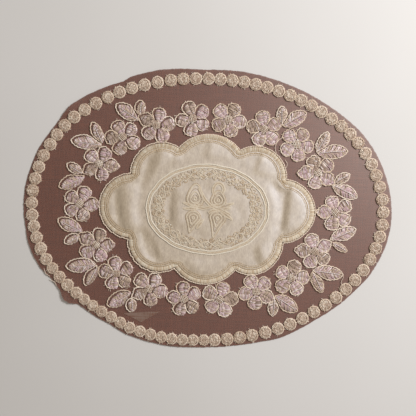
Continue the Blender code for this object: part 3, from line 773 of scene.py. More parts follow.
# ----------------------------------------------------------------------------- the garland's leaves
# Twelve pairs of leaves between the flowers, worked like the petals: a cream cord outline, and slanted
# satin stitches that meet at a pale middle vein.

LEAF_GAP = -0.6  # the leaves' feet run in under the flowers' cords
# Leaf pairs: base, tip of the large leaf, its width, tip of the small leaf, its width
LEAVES = (
    ((78.5, 93.8), (105.0, 110.0), 16.5, (77.9, 116.4), 12.4),
    ((118.0, 65.5), (152.6, 68.9), 16.5, (130.3, 89.4), 12.6),
    ((135.1, 31.5), (164.0, 17.2), 15.5, (155.7, 43.4), 11.6),
)
NARROW = {10: 0.72}  # a pair whose small leaf was worked narrower, to this share of its width
# Along a leaf, as shares of its length and of half its width
LEAF_SHAPE = (
    (0.0, 0.1), (0.1, 0.5), (0.22, 0.8), (0.36, 0.97), (0.52, 1.0), (0.68, 0.93), (0.82, 0.74), (0.93, 0.44),
)
LEAF_SHADES = {"large": (0.1, 0.7), "small": (0.1, 0.5)}  # tone limits
# On each half of the cloth: how far the fills have slid along X and Y, how far from the cord they end,
# and the limits of the cord's tone
LEAF_LIE = {"left": ((1.6, -0.9), 1.2, (0.2, 0.5)), "right": ((0.4, -0.3), 0.9, (0.15, 0.5))}
LEAF_COUCHING = 7 * FINE_STEP  # between two of the stitches that hold the cord
LEAF_COUCHING_BULGE = 0.24
LEAF_CORD_STRAY = 0.12  # how far the cord's points stray
LEAF_BED_DARKER = 0.25  # the underlay's tone is this far below the middle of the stitches'
STITCH_SLANT = 52.0  # degrees between a leaf's vein and its stitches
SLANT_STRAY = 7.0  # degrees more or less
LEAF_STITCH_WIDTHS = (0.9, 1.3)
LONG_STITCH, SHORT_STITCH = 4.5, 0.9  # a longer one may be made as two, a shorter one is left out
LEAF_FOOT, LEAF_RISE = 0.4, 1.05  # height over the cloth of a stitch's ends, and its rise from there
VEIN_WIDE, VEIN_HIGH, VEIN_TONE = 1.0, 0.8, 0.8
VEIN_BOW = 0.5  # how far the vein bends to one side
VEIN_FOOT, VEIN_RISE = 0.55, 1.5
POINT_SPAN = 22.0  # degrees each way from its tip over which a pointed petal is drawn out


def petal_edge(angle, petals):
    """How far a flower reaches from its eye at an angle, from circles around each petal's middle."""
    reach = 0.0
    for turn, pointed in petals:
        off = (angle - turn + 180.0) % 360.0 - 180.0
        side = EYE_TO_PETAL * math.sin(math.radians(off))
        if abs(off) < 90.0 and abs(side) < PETAL_RADIUS:
            here = EYE_TO_PETAL * math.cos(math.radians(off)) + math.sqrt(PETAL_RADIUS**2 - side**2)
            here += PETAL_POINT * max(0.0, 1 - abs(off) / POINT_SPAN) if pointed else 0.0
            reach = max(reach, here)
    return reach


def leaf_outline(base, tip, width, other_tip):
    """A leaf from base to tip, kept to its own side of its pair's middle line and off the flowers."""
    along = tip - base
    length = along.length
    along.normalize()
    across = Vector((-along.y, along.x))
    split = (along + (other_tip - base).normalized()).normalized()
    away = Vector((-split.y, split.x))
    if away.dot(along) < 0:
        away = -away

    def clear(point):
        """Whether a point is off the flowers and on the leaf's own side."""
        for middle, petals in FLOWER_LIST:
            gap = point - middle
            if gap.length < petal_edge(math.degrees(math.atan2(gap.y, gap.x)), petals) + LEAF_GAP:
                return False
        return (point - base).dot(away) > THREAD_GAP / 2

    start = 0.0
    while not clear(base + along * start):
        start += 0.25
    sides = ([], [])
    for share, half in LEAF_SHAPE:
        place = base + along * (start + share * (length - start))
        for side, direction in zip(sides, (-across, across)):
            reach = half * width / 2
            while reach > 0.4 and not clear(place + direction * reach):
                reach -= 0.2
            side.append(place + direction * reach)
    return sides[0] + [tip] + sides[1][::-1]


def leaf_stitches(loop, base, axis, length, shades, shift, margin):
    """The satin stitches of a leaf's two halves, from its vein slanting out to its cord."""
    stitches = []
    for side in (1, -1):
        run = 0.04 * length
        while run < 0.9 * length:
            angle = math.radians(side * (STITCH_SLANT + draw.uniform(-SLANT_STRAY, SLANT_STRAY)))
            cosine, sine = math.cos(angle), math.sin(angle)
            way = np.array((axis.x * cosine - axis.y * sine, axis.x * sine + axis.y * cosine))
            where = np.array(base + axis * run)
            ends = crossings(loop, where, way)
            if ends and ends[1] > margin + SHORT_STITCH:
                cuts = [FILL_LAP, ends[1] - margin + FILL_LAP]
                if cuts[1] > LONG_STITCH and draw.random() < 0.5:
                    cuts.insert(1, cuts[0] + (cuts[1] - cuts[0]) * draw.uniform(0.35, 0.65))
                for begin, finish in zip(cuts, cuts[1:]):
                    start, end = where + way * begin + shift, where + way * finish + shift
                    wide, rise = draw.uniform(*LEAF_STITCH_WIDTHS), LEAF_RISE * draw.uniform(0.85, 1.1)
                    tone = stitch_tone(shades)
                    stitches.append(stitch(start, end, wide, CLOTH_TOP + LEAF_FOOT, rise, tone))
            run += ROW_SPACING * draw.uniform(1.0, 1.3)
    return stitches


def leaf_parts(outline, shades):
    """A leaf: its cord, and its underlay, satin stitches and vein."""
    base, tip = (outline[0] + outline[-1]) / 2, outline[len(outline) // 2]
    shift, margin, cord_tone = LEAF_LIE["left" if base.x < 0 else "right"]
    loop = drawn_in(smooth_loop(outline, FINE_STEP), CORD_THICK / 2)
    loop = smooth_loop(loop[::3], FINE_STEP)
    height = np.full(len(loop), CLOTH_TOP + CORD_THICK / 2 + draw.uniform(0.0, 0.2))
    bulge = LEAF_COUCHING_BULGE * np.sin(np.arange(len(loop)) * 2 * math.pi * FINE_STEP / LEAF_COUCHING)
    couched = drawn_in(loop, bulge[:, None]) + wander(loop, LEAF_CORD_STRAY)
    line = np.column_stack([couched, height])
    cord = thread(line, CORD_THICK, CORD_HIGH, draw.uniform(*cord_tone), COUCHED_TWIST, closed=True)
    axis = tip - base
    length = axis.length
    axis.normalize()
    vein = []
    for share in np.linspace(0.06, 0.86, 9):
        bow = VEIN_BOW * math.sin(math.pi * share)
        place = base + axis * share * length + Vector((-axis.y, axis.x)) * bow
        rise = VEIN_FOOT + VEIN_RISE * math.sin(math.pi * (0.1 + 0.8 * share))
        vein.append((*(np.array(place) + shift), CLOTH_TOP + rise))
    fill = [padding(loop[::3], margin, shift, sum(shades) / 2 - LEAF_BED_DARKER)]
    fill += leaf_stitches(loop, base, axis, length, shades, shift, margin)
    fill.append(thread(smooth_loop(vein, 0.9, closed=False), VEIN_WIDE, VEIN_HIGH, VEIN_TONE, TWIST))
    return cord, fill


def mirrored_pairs():
    """Every pair of leaves: its number, base, the large leaf's tip and width and the small one's."""
    number = 0
    for base, large_tip, large_width, small_tip, small_width in LEAVES:
        for flip_x in (1, -1):
            for flip_y in (1, -1):
                number += 1
                places = [drifted(Vector((flip_x * x, flip_y * y))) for x, y in (base, large_tip, small_tip)]
                yield number, places, large_width, small_width * NARROW.get(number, 1.0)


leaf_cords = []
for number, (base, large_tip, small_tip), large_width, small_width in mirrored_pairs():
    large, small = (large_tip, large_width, small_tip), (small_tip, small_width, large_tip)
    for kind, (tip, width, other_tip) in (("large", large), ("small", small)):
        outline = leaf_outline(base, tip, width, other_tip)
        if sum(p.x * q.y - q.x * p.y for p, q in zip(outline, outline[1:] + outline[:1])) < 0:
            outline.reverse()
        cord, fill = leaf_parts(outline, LEAF_SHADES[kind])
        leaf_cords.append(cord)
        leaf = make_piece(f"leaf_stitches_{kind}_{number:02d}", fill, LILAC)
        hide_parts(f"leaf_{kind}_{number:02d}")
make_piece("leaf_cords", leaf_cords, CREAM)

# ----------------------------------------------------------------------------- the satin centre
# A panel of champagne satin cut to eight lobes and laid on the organza. It is held only at its edge and
# along the oval, and between them it lies in soft upright folds.

SATIN_MIDDLE = (1.2, -0.6)
CUSPS = ((33.6, 66.1), (85.4, 35.5))  # where the lobes meet, in one quarter
BULGE_TOP, BULGE_SLANT, BULGE_SIDE = 16.7, 18.0, 32.9  # how far the lobes stand out from cusp to cusp
LOBE_SIDE, LOBE_OTHER = 115.0, 85.0  # about how long the side lobes' edges are, and the others'
CUSP_FILLET = 0.9
CUSP_STEPS = 7
SATIN_EDGING = 7.6  # how far the edging and the first of the hem reach inside the outline
SATIN_LAP = 0.6  # the satin's own edge runs in under them by this
SATIN_STEP = 2.4  # between the points of the satin's face
SATIN_ROWS, SATIN_COLUMNS = 32, 47  # of those points, each way from the middle
OVAL_HALF_LENGTH, OVAL_HALF_WIDTH = 68.0, 50.0  # the stitched oval
SATIN_TOP = 2.3  # the satin's top where it is stitched down
SATIN_THICK = 0.4
# How the satin has drifted with the cloth: place around it in degrees, along X, along Y
SATIN_DRIFT = (
    (0.0, -0.2, 0.4), (60.0, 0.0, 0.0), (260.0, 0.0, 0.6), (300.0, -0.8, 1.0),
    (325.0, -1.8, 2.4), (345.0, -1.2, 1.6), (360.0, -0.2, 0.4),
)
# Soft folds of the satin: middle x, y, half width left and right of its crest, half length, lean in
# degrees, height; a negative one is a hollow
FOLDS = (
    (-99.0, -2.3, 9.0, 5.0, 22.0, -7.5, -1.3),
    (-86.6, -1.9, 9.5, 18.0, 27.0, -7.5, 2.1),
    (-69.0, 43.0, 9.0, 8.0, 24.0, 10.0, -1.1),
    (-54.8, 43.2, 9.5, 22.0, 24.0, 10.0, 2.3),
    (-60.2, -43.0, 17.0, 8.0, 20.0, -19.0, -2.2),
    (-41.0, 0.2, 9.0, 4.0, 20.0, 3.0, -1.0),
    (-31.5, 0.2, 8.0, 30.0, 20.0, 3.0, 1.5),
    (28.2, 4.0, 24.0, 10.0, 16.0, 0.0, 0.35),
    (-35.5, 54.0, 5.0, 14.0, 10.0, 10.0, 0.9),
    (1.0, 64.0, 7.0, 18.0, 12.0, 6.0, 0.8),
    (-9.5, -61.0, 14.0, 27.0, 12.0, 0.0, 0.9),
    (56.3, 54.3, 4.0, 22.0, 14.0, 20.0, 1.1),
    (53.0, -46.0, 14.0, 6.0, 12.0, -15.0, -0.6),
    (60.2, -42.0, 7.5, 18.0, 16.0, -15.0, 1.6),
    (82.8, 7.0, 32.0, 6.0, 27.0, 4.2, -2.1),
    (91.8, 7.0, 7.4, 60.0, 30.0, 4.2, 1.6),
)
CREST = 0.22  # how rounded a fold's crest and feet are, as a share of its flank
FOLD_END, FOLD_FADE = 1.3, 0.6  # where a fold ends and the length it fades over, as shares of its half length
SATIN_SAG = -1.2  # the lowest that a hollow reaches, down to the organza
PUFF = 0.4  # how far the satin stands up between its stitched lines, and half that outside the oval
# Its puckers: height, width over 2 pi, how far they sway, and over what width over 2 pi
PUCKERS_ALONG = (0.12, 3.1, 1.3, 7.0)
PUCKERS_ACROSS = (0.11, 4.3, 1.7, 9.0)
INNER_END, INNER_FADE = 0.92, 0.25  # inside the oval's stitching, as shares of the way out to it
OUTER_START, OUTER_FADE = 1.04, 0.2  # the same outside it
EDGE_START, EDGE_FADE = 1.0, 8.0  # where the satin rises from its own edge
EDGE_PUCKER, EDGE_PUCKER_WIDTH, EDGE_PUCKER_REACH = 0.12, 1.35, 5.0  # the small ones beside the edging
HEM_RUN = 14.0  # a fold dies away over this width, under the edging and the hem
FAR_FROM_EDGE = 50.0


def lobe(start, end, bulge, count):
    """Points and outward directions along an arc that bulges to the right of start to end."""
    chord = end - start
    side = Vector((chord.y, -chord.x)).normalized()
    radius = (chord.length_squared / 4 + bulge * bulge) / (2 * bulge)
    centre = (start + end) / 2 + side * (bulge - radius)
    first = math.atan2(start.y - centre.y, start.x - centre.x)
    turn = (math.atan2(end.y - centre.y, end.x - centre.x) - first) % (2 * math.pi)
    for i in range(count):
        out = heading(first + turn * i / (count - 1))
        yield centre + out * radius, out


def satin_place(point):
    """The place around the satin's middle at which a point lies, in degrees."""
    return math.degrees(math.atan2(point.y - SATIN_MIDDLE[1], point.x - SATIN_MIDDLE[0])) % 360.0


def scallops(step):
    """The satin's lobed outline, anticlockwise: points with outward directions, cusps a little rounded."""
    (tx, ty), (sx, sy) = CUSPS
    cusps = [(tx, ty), (-tx, ty), (-sx, sy), (-sx, -sy), (-tx, -ty), (tx, -ty), (sx, -sy), (sx, sy)]
    cusps = [Vector(cusp) + Vector(SATIN_MIDDLE) for cusp in cusps]
    arcs = []
    for k, bulge in enumerate([BULGE_TOP, BULGE_SLANT, BULGE_SIDE, BULGE_SLANT] * 2):
        long = LOBE_SIDE if bulge == BULGE_SIDE else LOBE_OTHER
        arcs.append(list(lobe(cusps[k], cusps[(k + 1) % 8], bulge, round(long / step))))
    outline = []
    for k, arc in enumerate(arcs):
        outline += arc[1:-1]
        corner, before, after = arc[-1][0], arc[-1][1], arcs[(k + 1) % 8][0][1]
        outward = (before + after).normalized()
        for i in range(CUSP_STEPS):
            out = before.lerp(after, i / (CUSP_STEPS - 1)).normalized()
            outline.append((corner + (outward - out) * CUSP_FILLET, out))
    lying = []
    for point, out in outline:
        place = satin_place(point)
        drift = Vector((eased(SATIN_DRIFT, DRIFT_X, place), eased(SATIN_DRIFT, DRIFT_Y, place)))
        lying.append((point + drift, out))
    return lying


def drawn_back(outline, by):
    """An outline of points and outward directions, moved inwards, as an array of points."""
    return np.array([tuple(point - out * by) for point, out in outline])


def soft(share):
    """0 to 1 as share goes 0 to 1, level at both ends."""
    share = np.clip(share, 0.0, 1.0)
    return share * share * (3 - 2 * share)


def fold_height(x, y):
    """The height of all the folds together at a place, and its share of the way out to the oval."""
    x, y = x - SATIN_MIDDLE[0], y - SATIN_MIDDLE[1]
    height = 0.0
    for fx, fy, left, right, long, lean, high in FOLDS:
        off = x - fx - math.tan(math.radians(lean)) * (y - fy)
        off = off / np.where(off < 0, left, right)
        slope = 1.0 - np.sqrt(off * off + CREST * CREST)
        fold = 0.5 * (slope + np.sqrt(slope * slope + CREST * CREST))
        height = height + high * fold * soft((FOLD_END - np.abs(y - fy) / long) / FOLD_FADE)
    return height, np.hypot(x / OVAL_HALF_LENGTH, y / OVAL_HALF_WIDTH)


def puckers(along, across, form):
    """Small waves along one way, which sway along the other."""
    high, width, sway, sway_width = form
    return high * np.sin(along / width + sway * np.sin(across / sway_width))


def satin_rise(x, y, edge, run):
    """How far the satin stands up between the lines that stitch it down: at a place, from its distance
    to the satin's edge and its run along that edge."""
    folds, share = fold_height(x, y)
    within, outside = soft((INNER_END - share) / INNER_FADE), soft((share - OUTER_START) / OUTER_FADE)
    puff = PUFF + puckers(x, y, PUCKERS_ALONG) + puckers(y, x, PUCKERS_ACROSS)
    inner = np.maximum(SATIN_SAG, puff + folds) * within
    outer = (0.5 * puff + np.minimum(0.0, folds)) * soft((edge - EDGE_START) / EDGE_FADE)
    outer = outer + np.maximum(0.0, folds) * soft((edge + SATIN_EDGING) / HEM_RUN)
    outer = np.maximum(SATIN_SAG, outer) * outside
    pucker = EDGE_PUCKER * np.sin(run / EDGE_PUCKER_WIDTH) * np.exp(-edge / EDGE_PUCKER_REACH)
    pucker = pucker * (share > 1.0) * soft(edge / 1.5)
    return np.where(share < 1.0, inner, outer) + pucker


def satin_top(x, y):
    """The height of the satin's face inside the oval, for what is stitched on it."""
    return SATIN_TOP + satin_rise(np.asarray(x, float), np.asarray(y, float), FAR_FROM_EDGE, 0.0)


# Polyester satin: long floats of bright yarn lie side by side, so the shine is broad and pale over a
# warm champagne; its IOR is above a polyester's 1.6 for that shine. The weave is too fine to show; what
# shows is a faint mottle about 4 mm wide.
SATIN, satin_shader = new_look("champagne_polyester_satin", Roughness=0.6, IOR=2.4, Specular_IOR_Level=1.0)
satin_shader.inputs["Sheen Weight"].default_value = 0.15
satin_shader.inputs["Specular Tint"].default_value = linear("e4eeff")
satin_mottle = mean_of(SATIN, streaks(SATIN, 4.0, 9.0, 2.0), streaks(SATIN, 1.4, 3.6, 8.0))
SATIN_STOPS = ((0.35, "af9465"), (0.5, "c1a67b"), (0.65, "d0b88f"))
satin_colour = add(SATIN, "ValToRGB", links={"Fac": satin_mottle}, stops=SATIN_STOPS)
SATIN.node_tree.links.new(satin_colour.outputs["Color"], satin_shader.inputs["Base Color"])
satin_bump = add(SATIN, "Bump", {"Strength": 0.2, "Distance": 0.0002}, {"Height": satin_mottle})
SATIN.node_tree.links.new(satin_bump.outputs["Normal"], satin_shader.inputs["Normal"])


def nearest(loop, points):
    """How far each point is from a closed line, and how far along the line its nearest place is."""
    after = np.roll(loop, -1, 0)
    span = after - loop
    length = np.linalg.norm(span, axis=1)
    run = np.concatenate([[0.0], np.cumsum(length)[:-1]])
    gaps = points[:, None] - loop[None]
    share = np.clip((gaps * span).sum(-1) / (length**2), 0, 1)
    far = np.linalg.norm(gaps - share[..., None] * span, axis=-1)
    best = far.argmin(1)
    rows = np.arange(len(points))
    return far[rows, best], run[best] + share[rows, best] * length[best]


def inside(loop, points):
    """Which points lie inside a closed line: those with an odd number of crossings to their right."""
    (x, y), (next_x, next_y) = loop.T, np.roll(loop, -1, 0).T
    spans = (y[None] > points[:, 1:]) != (next_y[None] > points[:, 1:])
    with np.errstate(divide="ignore", invalid="ignore"):
        meets = x[None] + (next_x - x)[None] * (points[:, 1:] - y[None]) / (next_y - y)[None]
    return (spans & (points[:, :1] < meets)).sum(1) % 2 == 1


def satin_cloth():
    """The satin as a triangle net over its outline, with an upper and a lower face."""
    rim = drawn_back(scallops(SATIN_STEP), SATIN_EDGING - SATIN_LAP)
    net = []
    for row in range(-SATIN_ROWS, SATIN_ROWS + 1):
        y = SATIN_MIDDLE[1] + row * SATIN_STEP * 0.95
        for column in range(-SATIN_COLUMNS, SATIN_COLUMNS + 1):
            net.append((SATIN_MIDDLE[0] + (column + 0.5 * (row % 2)) * SATIN_STEP, y))
    net = np.array(net)
    far, _ = nearest(rim, net)
    net = net[inside(rim, net) & (far > SATIN_STEP * 0.55)]
    count = len(rim)
    places = [Vector(p) for p in rim] + [Vector(p) for p in net]
    border = [(i, (i + 1) % count) for i in range(count)]
    flat, _, triangles, _, _, _ = delaunay_2d_cdt(places, border, [], 1, 1e-6)
    flat = np.array([tuple(p) for p in flat])
    over = np.column_stack([flat, SATIN_TOP + satin_rise(*flat.T, *nearest(rim, flat))])
    under = over - (0.0, 0.0, SATIN_THICK)
    faces = [tuple(t) for t in triangles] + [tuple(len(flat) + k for k in t[::-1]) for t in triangles]
    faces += [(len(flat) + i, len(flat) + j, j, i) for i, j in border]
    return np.vstack([over, under]), faces, 0.5


satin = make_piece("satin_panel", [satin_cloth()], SATIN)
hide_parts("satin_centre")

# ----------------------------------------------------------------------------- the scalloped edging
# The satin's cut edge is covered by a dense band of satin stitch in ecru thread, with a cream cord just
# outside it. Inside it the satin is turned into a narrow hem, which three lines of tan stitches hold.

# Sections from the outer foot to the inner one: how far inside the outline, height over the organza,
# and for the hem which way a small wave moves it
ROLL_SECTION = ((0.8, 0.0), (0.8, 0.8), (1.5, 1.3), (3.0, 1.5), (4.8, 1.4), (5.4, 0.9), (5.4, 0.0))
HEM_SECTION = (
    (4.6, 0.6, 0), (4.9, 1.5, 0), (5.3, 1.75, 0), (5.8, 1.78, 0), (6.4, 1.9, 1), (7.1, 1.9, 1),
    (7.8, 1.8, 0), (8.5, 1.88, -1), (9.4, 1.8, 0), (10.4, 1.7, 0),
)
HEM_WAVES = ((0.05, 0.45), (0.05, 0.17))  # height, turn from station to station in radians
ROLL_STEP = 0.85  # between two stitches of the band
ROLL_WIDTHS, ROLL_TONES = (1.2, 1.6), (0.1, 0.5)  # of these stitches
ROLL_FOOT = 1.05  # height over the organza of their ends
ROLL_RISE, ROLL_HIGH = 0.5, 0.6  # how far they rise from there, and how thick they are
EDGE_STEP = 0.6  # between two stations of the outline
# Lines of tan stitches: how far inside the outline, their width, their height over the organza
HEM_LINES = ((5.6, 0.7, 1.72), (7.7, 1.1, 1.75), (9.4, 0.6, 1.7))
HEM_STITCH = 2.6
HEM_STITCH_RISE, HEM_STITCH_HIGH = 0.3, 0.35
STITCH_LAP = 0.05  # one stitch runs on past the start of the next, as a share of its length
# How far outside the outline the edge's cord lies: place around the satin in degrees, distance
CORD_AWAY = (
    (0.0, 0.3), (45.0, 0.3), (90.0, -0.6), (135.0, 0.6), (180.0, 0.55), (220.0, 1.05), (250.0, 0.5),
    (275.0, 0.1), (320.0, 0.4), (360.0, 0.3),
)
AWAY = 1  # column of CORD_AWAY
EDGE_CORD_WIDE, EDGE_CORD_HIGH = CORD_THICK * 1.1, CORD_THICK * 0.85
EDGE_CORD_UP = CORD_THICK * 0.55  # how far over the organza its middle lies
EDGE_CORD_SWAY = 0.75  # how far it strays, as a share of its distance

fine_edge = scallops(EDGE_STEP)
edge_loop = drawn_back(scallops(SATIN_STEP), 0.0)


def band(stations, tone):
    """A closed band: stations run anticlockwise, each a section from its outer foot over to its inner."""
    count, size = len(stations), len(stations[0])
    faces = []
    for i in range(count):
        here, there = i * size, (i + 1) % count * size
        for k in range(size):
            after = (k + 1) % size
            faces.append((here + k, there + k, there + after, here + after))
    return np.array(stations).reshape(-1, 3), faces, np.repeat(tone, size)


def on_folds(parts):
    """Parts of the edging and the hem, raised where a fold runs out under them."""
    raised = []
    for points, faces, tone in parts:
        inward, _ = nearest(edge_loop, points[:, :2])
        folds, share = fold_height(points[:, 0], points[:, 1])
        lift = np.maximum(0.0, folds) * soft(inward / HEM_RUN) * soft((share - OUTER_START) / OUTER_FADE)
        raised.append((points + np.column_stack([0 * lift, 0 * lift, lift]), faces, tone))
    return raised


# Ecru cotton thread: duller and a little browner than the satin it lies on, with a mottle as long as
# its slubs, about 2 mm.
ECRU = spun_thread(
    "ecru_cotton_thread", per_mm=0.5, detail=2.0, mottle=0.4,
    stops=((0.1, "a58a6a"), (0.4, "bda78a"), (0.6, "cdbea6"), (0.8, "dbd0bc"), (1.0, "eae1d3")),
    Roughness=0.65, IOR=1.5, Sheen_Weight=0.2,
)

body, hem = [], []
for i, (point, out) in enumerate(fine_edge):
    wave = sum(high * math.sin(i * turn) for high, turn in HEM_WAVES)
    body.append([(*(point - out * inward), CLOTH_TOP + rise) for inward, rise in ROLL_SECTION])
    waved = [(inward, rise + way * wave) for inward, rise, way in HEM_SECTION]
    hem.append([(*(point - out * inward), CLOTH_TOP + rise) for inward, rise in waved])
roll = [band(body, [0.15] * len(body))]
for point, out in scallops(ROLL_STEP):
    along = Vector((-out.y, out.x)) * draw.uniform(-0.35, 0.35)
    start, end = point - out * draw.uniform(0.6, 1.0) + along, point - out * draw.uniform(5.5, 5.9) - along
    wide, rise = draw.uniform(*ROLL_WIDTHS), ROLL_RISE + draw.uniform(-0.12, 0.12)
    tone = draw.uniform(*ROLL_TONES)
    roll.append(stitch(start, end, wide, CLOTH_TOP + ROLL_FOOT, rise, tone, high=ROLL_HIGH))
edging = make_piece("scallop_roll", on_folds(roll), ECRU)
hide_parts("scallop_edging")
make_piece("satin_hem", on_folds([band(hem, [0.5] * len(hem))]), SATIN)

cord_line = []
for i, (point, out) in enumerate(fine_edge[::4]):
    away = eased(CORD_AWAY, AWAY, satin_place(point))
    away += EDGE_CORD_SWAY * max(0.2, away) * math.sin(i * 1.9) * math.sin(i * 0.6)
    cord_line.append((*(point + out * away), CLOTH_TOP + EDGE_CORD_UP))
cord_line = smooth_loop(cord_line, FINE_STEP)
edge_cord = thread(cord_line, EDGE_CORD_WIDE, EDGE_CORD_HIGH, 0.3, TWIST, closed=True)
make_piece("scallop_cord", [edge_cord], CREAM)

# Cotton sewing thread, tan: a dull, slightly fuzzy line, darker than the satin it is sewn into. Its
# mottle is as long as half a stitch.
TAN = spun_thread(
    "tan_sewing_cotton", per_mm=0.9, detail=1.0, mottle=0.3,
    stops=((0.1, "a08763"), (0.5, "b69d7a"), (1.0, "cbb594")),
    Roughness=0.7, IOR=1.5,
)

hem_stitches = []
for inward, wide, rise in HEM_LINES:
    hem_loop = smooth_loop(drawn_back(fine_edge[::6], inward), HEM_STITCH)
    for here, after in zip(hem_loop, np.roll(hem_loop, -1, 0)):
        lap = (after - here) * STITCH_LAP
        tone = draw.uniform(0.0, 0.6)
        start, end, floor = here - lap, after + lap, CLOTH_TOP + rise
        hem_stitches.append(stitch(start, end, wide, floor, HEM_STITCH_RISE, tone, high=HEM_STITCH_HIGH))
make_piece("hem_stitches", on_folds(hem_stitches), TAN)

# ----------------------------------------------------------------------------- the corded oval
# Two ecru cords laid side by side around the inner oval, with a flat darker one sunk between them that paints
# the shade of the hollow there, sewn down through the satin and the organza on a hand-guided machine, so they
# wander a little.

# Cords of the oval: how far inside it, width, height, tone; the middle one's low tone is painted shade
OVAL_CORDS = ((0.9, 1.4, 0.75, 0.6), (2.8, 2.0, 0.4, 0.3), (4.7, 1.4, 0.65, 0.6))
OVAL_STEPS = 120
OVAL_SINK = 0.1  # how far a cord sinks into the satin
OVAL_STRAY = 0.15  # how far its points stray


def oval_place(at, inset):
    """A point of the oval at an angle, drawn in by a distance."""
    point, outward = on_oval(OVAL_HALF_LENGTH, OVAL_HALF_WIDTH, at)
    return point + Vector(SATIN_MIDDLE) - outward * inset


def oval_sway(at, phase):
    """How far a cord strays inwards at an angle."""
    return 0.42 * math.sin(7 * at + 2.0) * math.sin(3 * at) + 0.24 * math.sin(19 * at + phase)


oval_cords = []
for inset, wide, high, tone in OVAL_CORDS:
    phase = draw.uniform(*ANY_ANGLE)
    route = []
    for i in range(OVAL_STEPS):
        at = 2 * math.pi * i / OVAL_STEPS
        route.append((*oval_place(at, inset + oval_sway(at, phase)), SATIN_TOP + high / 2 - OVAL_SINK))
    line = smooth_loop(route, FINE_STEP)
    line[:, :2] += wander(line, OVAL_STRAY)
    oval_cords.append(thread(line, wide, high, tone, closed=True, sides=8))
piece = make_piece("oval_cords", oval_cords, ECRU)
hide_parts("oval_braid")

# ----------------------------------------------------------------------------- the scroll embroidery
# A ring of small scrolls in ecru thread inside the oval, on a ground of short seed stitches: two waved
# stems that cross, three rows of curls and little loops scattered between.

SCROLL_THICK = 1.1
SCROLL_UP = 0.2  # how far over the satin the middle of a scroll's thread lies
SCROLL_COUNT = 14  # of the stems' waves around the oval
STEM_INSET, STEM_SWING = 12.4, 3.6  # how far inside the oval a stem runs, and its wave to each side
STEM_WIDER = 1.4  # how much further inside it runs at the oval's ends
STEM_STEPS = SCROLL_COUNT * 12
STEM_TONE = 0.42
RING_WIDER = 0.1  # the ring is wider at the oval's ends, by this share
SEEDS = 620
SEED_RING = (6.6, 18.2)  # how far inside the oval they lie
SEED_FOOT, SEED_RISE, SEED_HIGH = 0.05, 0.3, 0.35
CURLS = 34  # in each row
CURL_ROWS = ((8.8, 2.7), (12.8, 2.4), (16.8, 2.7))  # how far inside the oval, radius of a curl
CURL_WOUND = 0.72  # how far a curl winds in, as a share of its radius
CURL_STEPS = 14  # to a turn
LOOPS = 90
LOOP_RING = (6.6, 18.6)
LOOP_UP, LOOP_THICK = 0.35, 0.7


def ring_place(at, inset):
    """A point of the scroll ring at an angle, at a depth that grows towards the oval's ends."""
    return oval_place(at, inset * (1 + RING_WIDER * math.cos(2 * at)))


def on_satin(line):
    """A line of points given their height above the satin, moved up to lie on it."""
    line = np.asarray([tuple(p) for p in line], float)
    line[:, 2] += satin_top(line[:, 0], line[:, 1])
    return line


def curl(place, radius, turns, first, way, tone):
    """A spiral of thread that winds in to its middle."""
    line = []
    steps = max(8, round(turns * CURL_STEPS))
    for i in range(steps):
        share = i / (steps - 1)
        at = first + way * 2 * math.pi * turns * share
        reach = radius * (1 - CURL_WOUND * share)
        line.append((*(place + heading(at) * reach), SCROLL_UP + 0.15 * share))
    return thread(on_satin(line), SCROLL_THICK, SCROLL_THICK * 0.38, tone, sides=5)


scrolls = []
for start in (0.0, math.pi):
    stem = []
    for i in range(STEM_STEPS):
        at = 2 * math.pi * i / STEM_STEPS
        inset = STEM_INSET + STEM_WIDER * math.cos(2 * at) + STEM_SWING * math.cos(SCROLL_COUNT * at + start)
        stem.append((*oval_place(at, inset), SCROLL_UP))
    line = on_satin(smooth_loop(stem, 0.8))
    scrolls.append(thread(line, SCROLL_THICK, SCROLL_THICK * 0.6, STEM_TONE, closed=True))
for i in range(SEEDS):
    at = 2 * math.pi * (i + draw.random()) / SEEDS
    place = ring_place(at, draw.uniform(*SEED_RING))
    half = heading(draw.uniform(0, math.pi)) * draw.uniform(0.8, 1.4)
    wide, tone = draw.uniform(0.6, 0.9), draw.uniform(0.0, 0.35)
    floor = float(satin_top(*place)) + SEED_FOOT
    scrolls.append(stitch(place - half, place + half, wide, floor, SEED_RISE, tone, high=SEED_HIGH))
for row, (inset, radius) in enumerate(CURL_ROWS):
    for i in range(CURLS):
        at = 2 * math.pi * (i + 0.5 * (row % 2) + draw.uniform(-0.12, 0.12)) / CURLS
        stray = draw.uniform(-0.5, 0.5)
        place = oval_place(at, inset * (1 + RING_WIDER * math.cos(2 * at)) + stray)
        reach, turns = radius * draw.uniform(0.9, 1.15), draw.uniform(0.9, 1.5)
        first = draw.uniform(*ANY_ANGLE)
        scrolls.append(curl(place, reach, turns, first, (-1) ** (i + row), draw.uniform(0.05, 0.45)))
for i in range(LOOPS):
    at = 2 * math.pi * (i + draw.uniform(-0.4, 0.4)) / LOOPS
    place = ring_place(at, draw.uniform(*LOOP_RING))
    place = (*place, satin_top(*place) + LOOP_UP)
    radius, tone = draw.uniform(0.5, 0.9), draw.uniform(0.2, 0.7)
    scrolls.append(ringlet(place, radius, LOOP_THICK, tone, steps=8, uneven=0.1))
piece = make_piece("scroll_threads", scrolls, ECRU)
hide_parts("scroll_band")

# ----------------------------------------------------------------------------- the centre motif
# Four tulip-like blooms in the same ecru thread, each of three outlines one inside another, on stems
# that cross at the middle, with pointed leaves to the left and to the right.

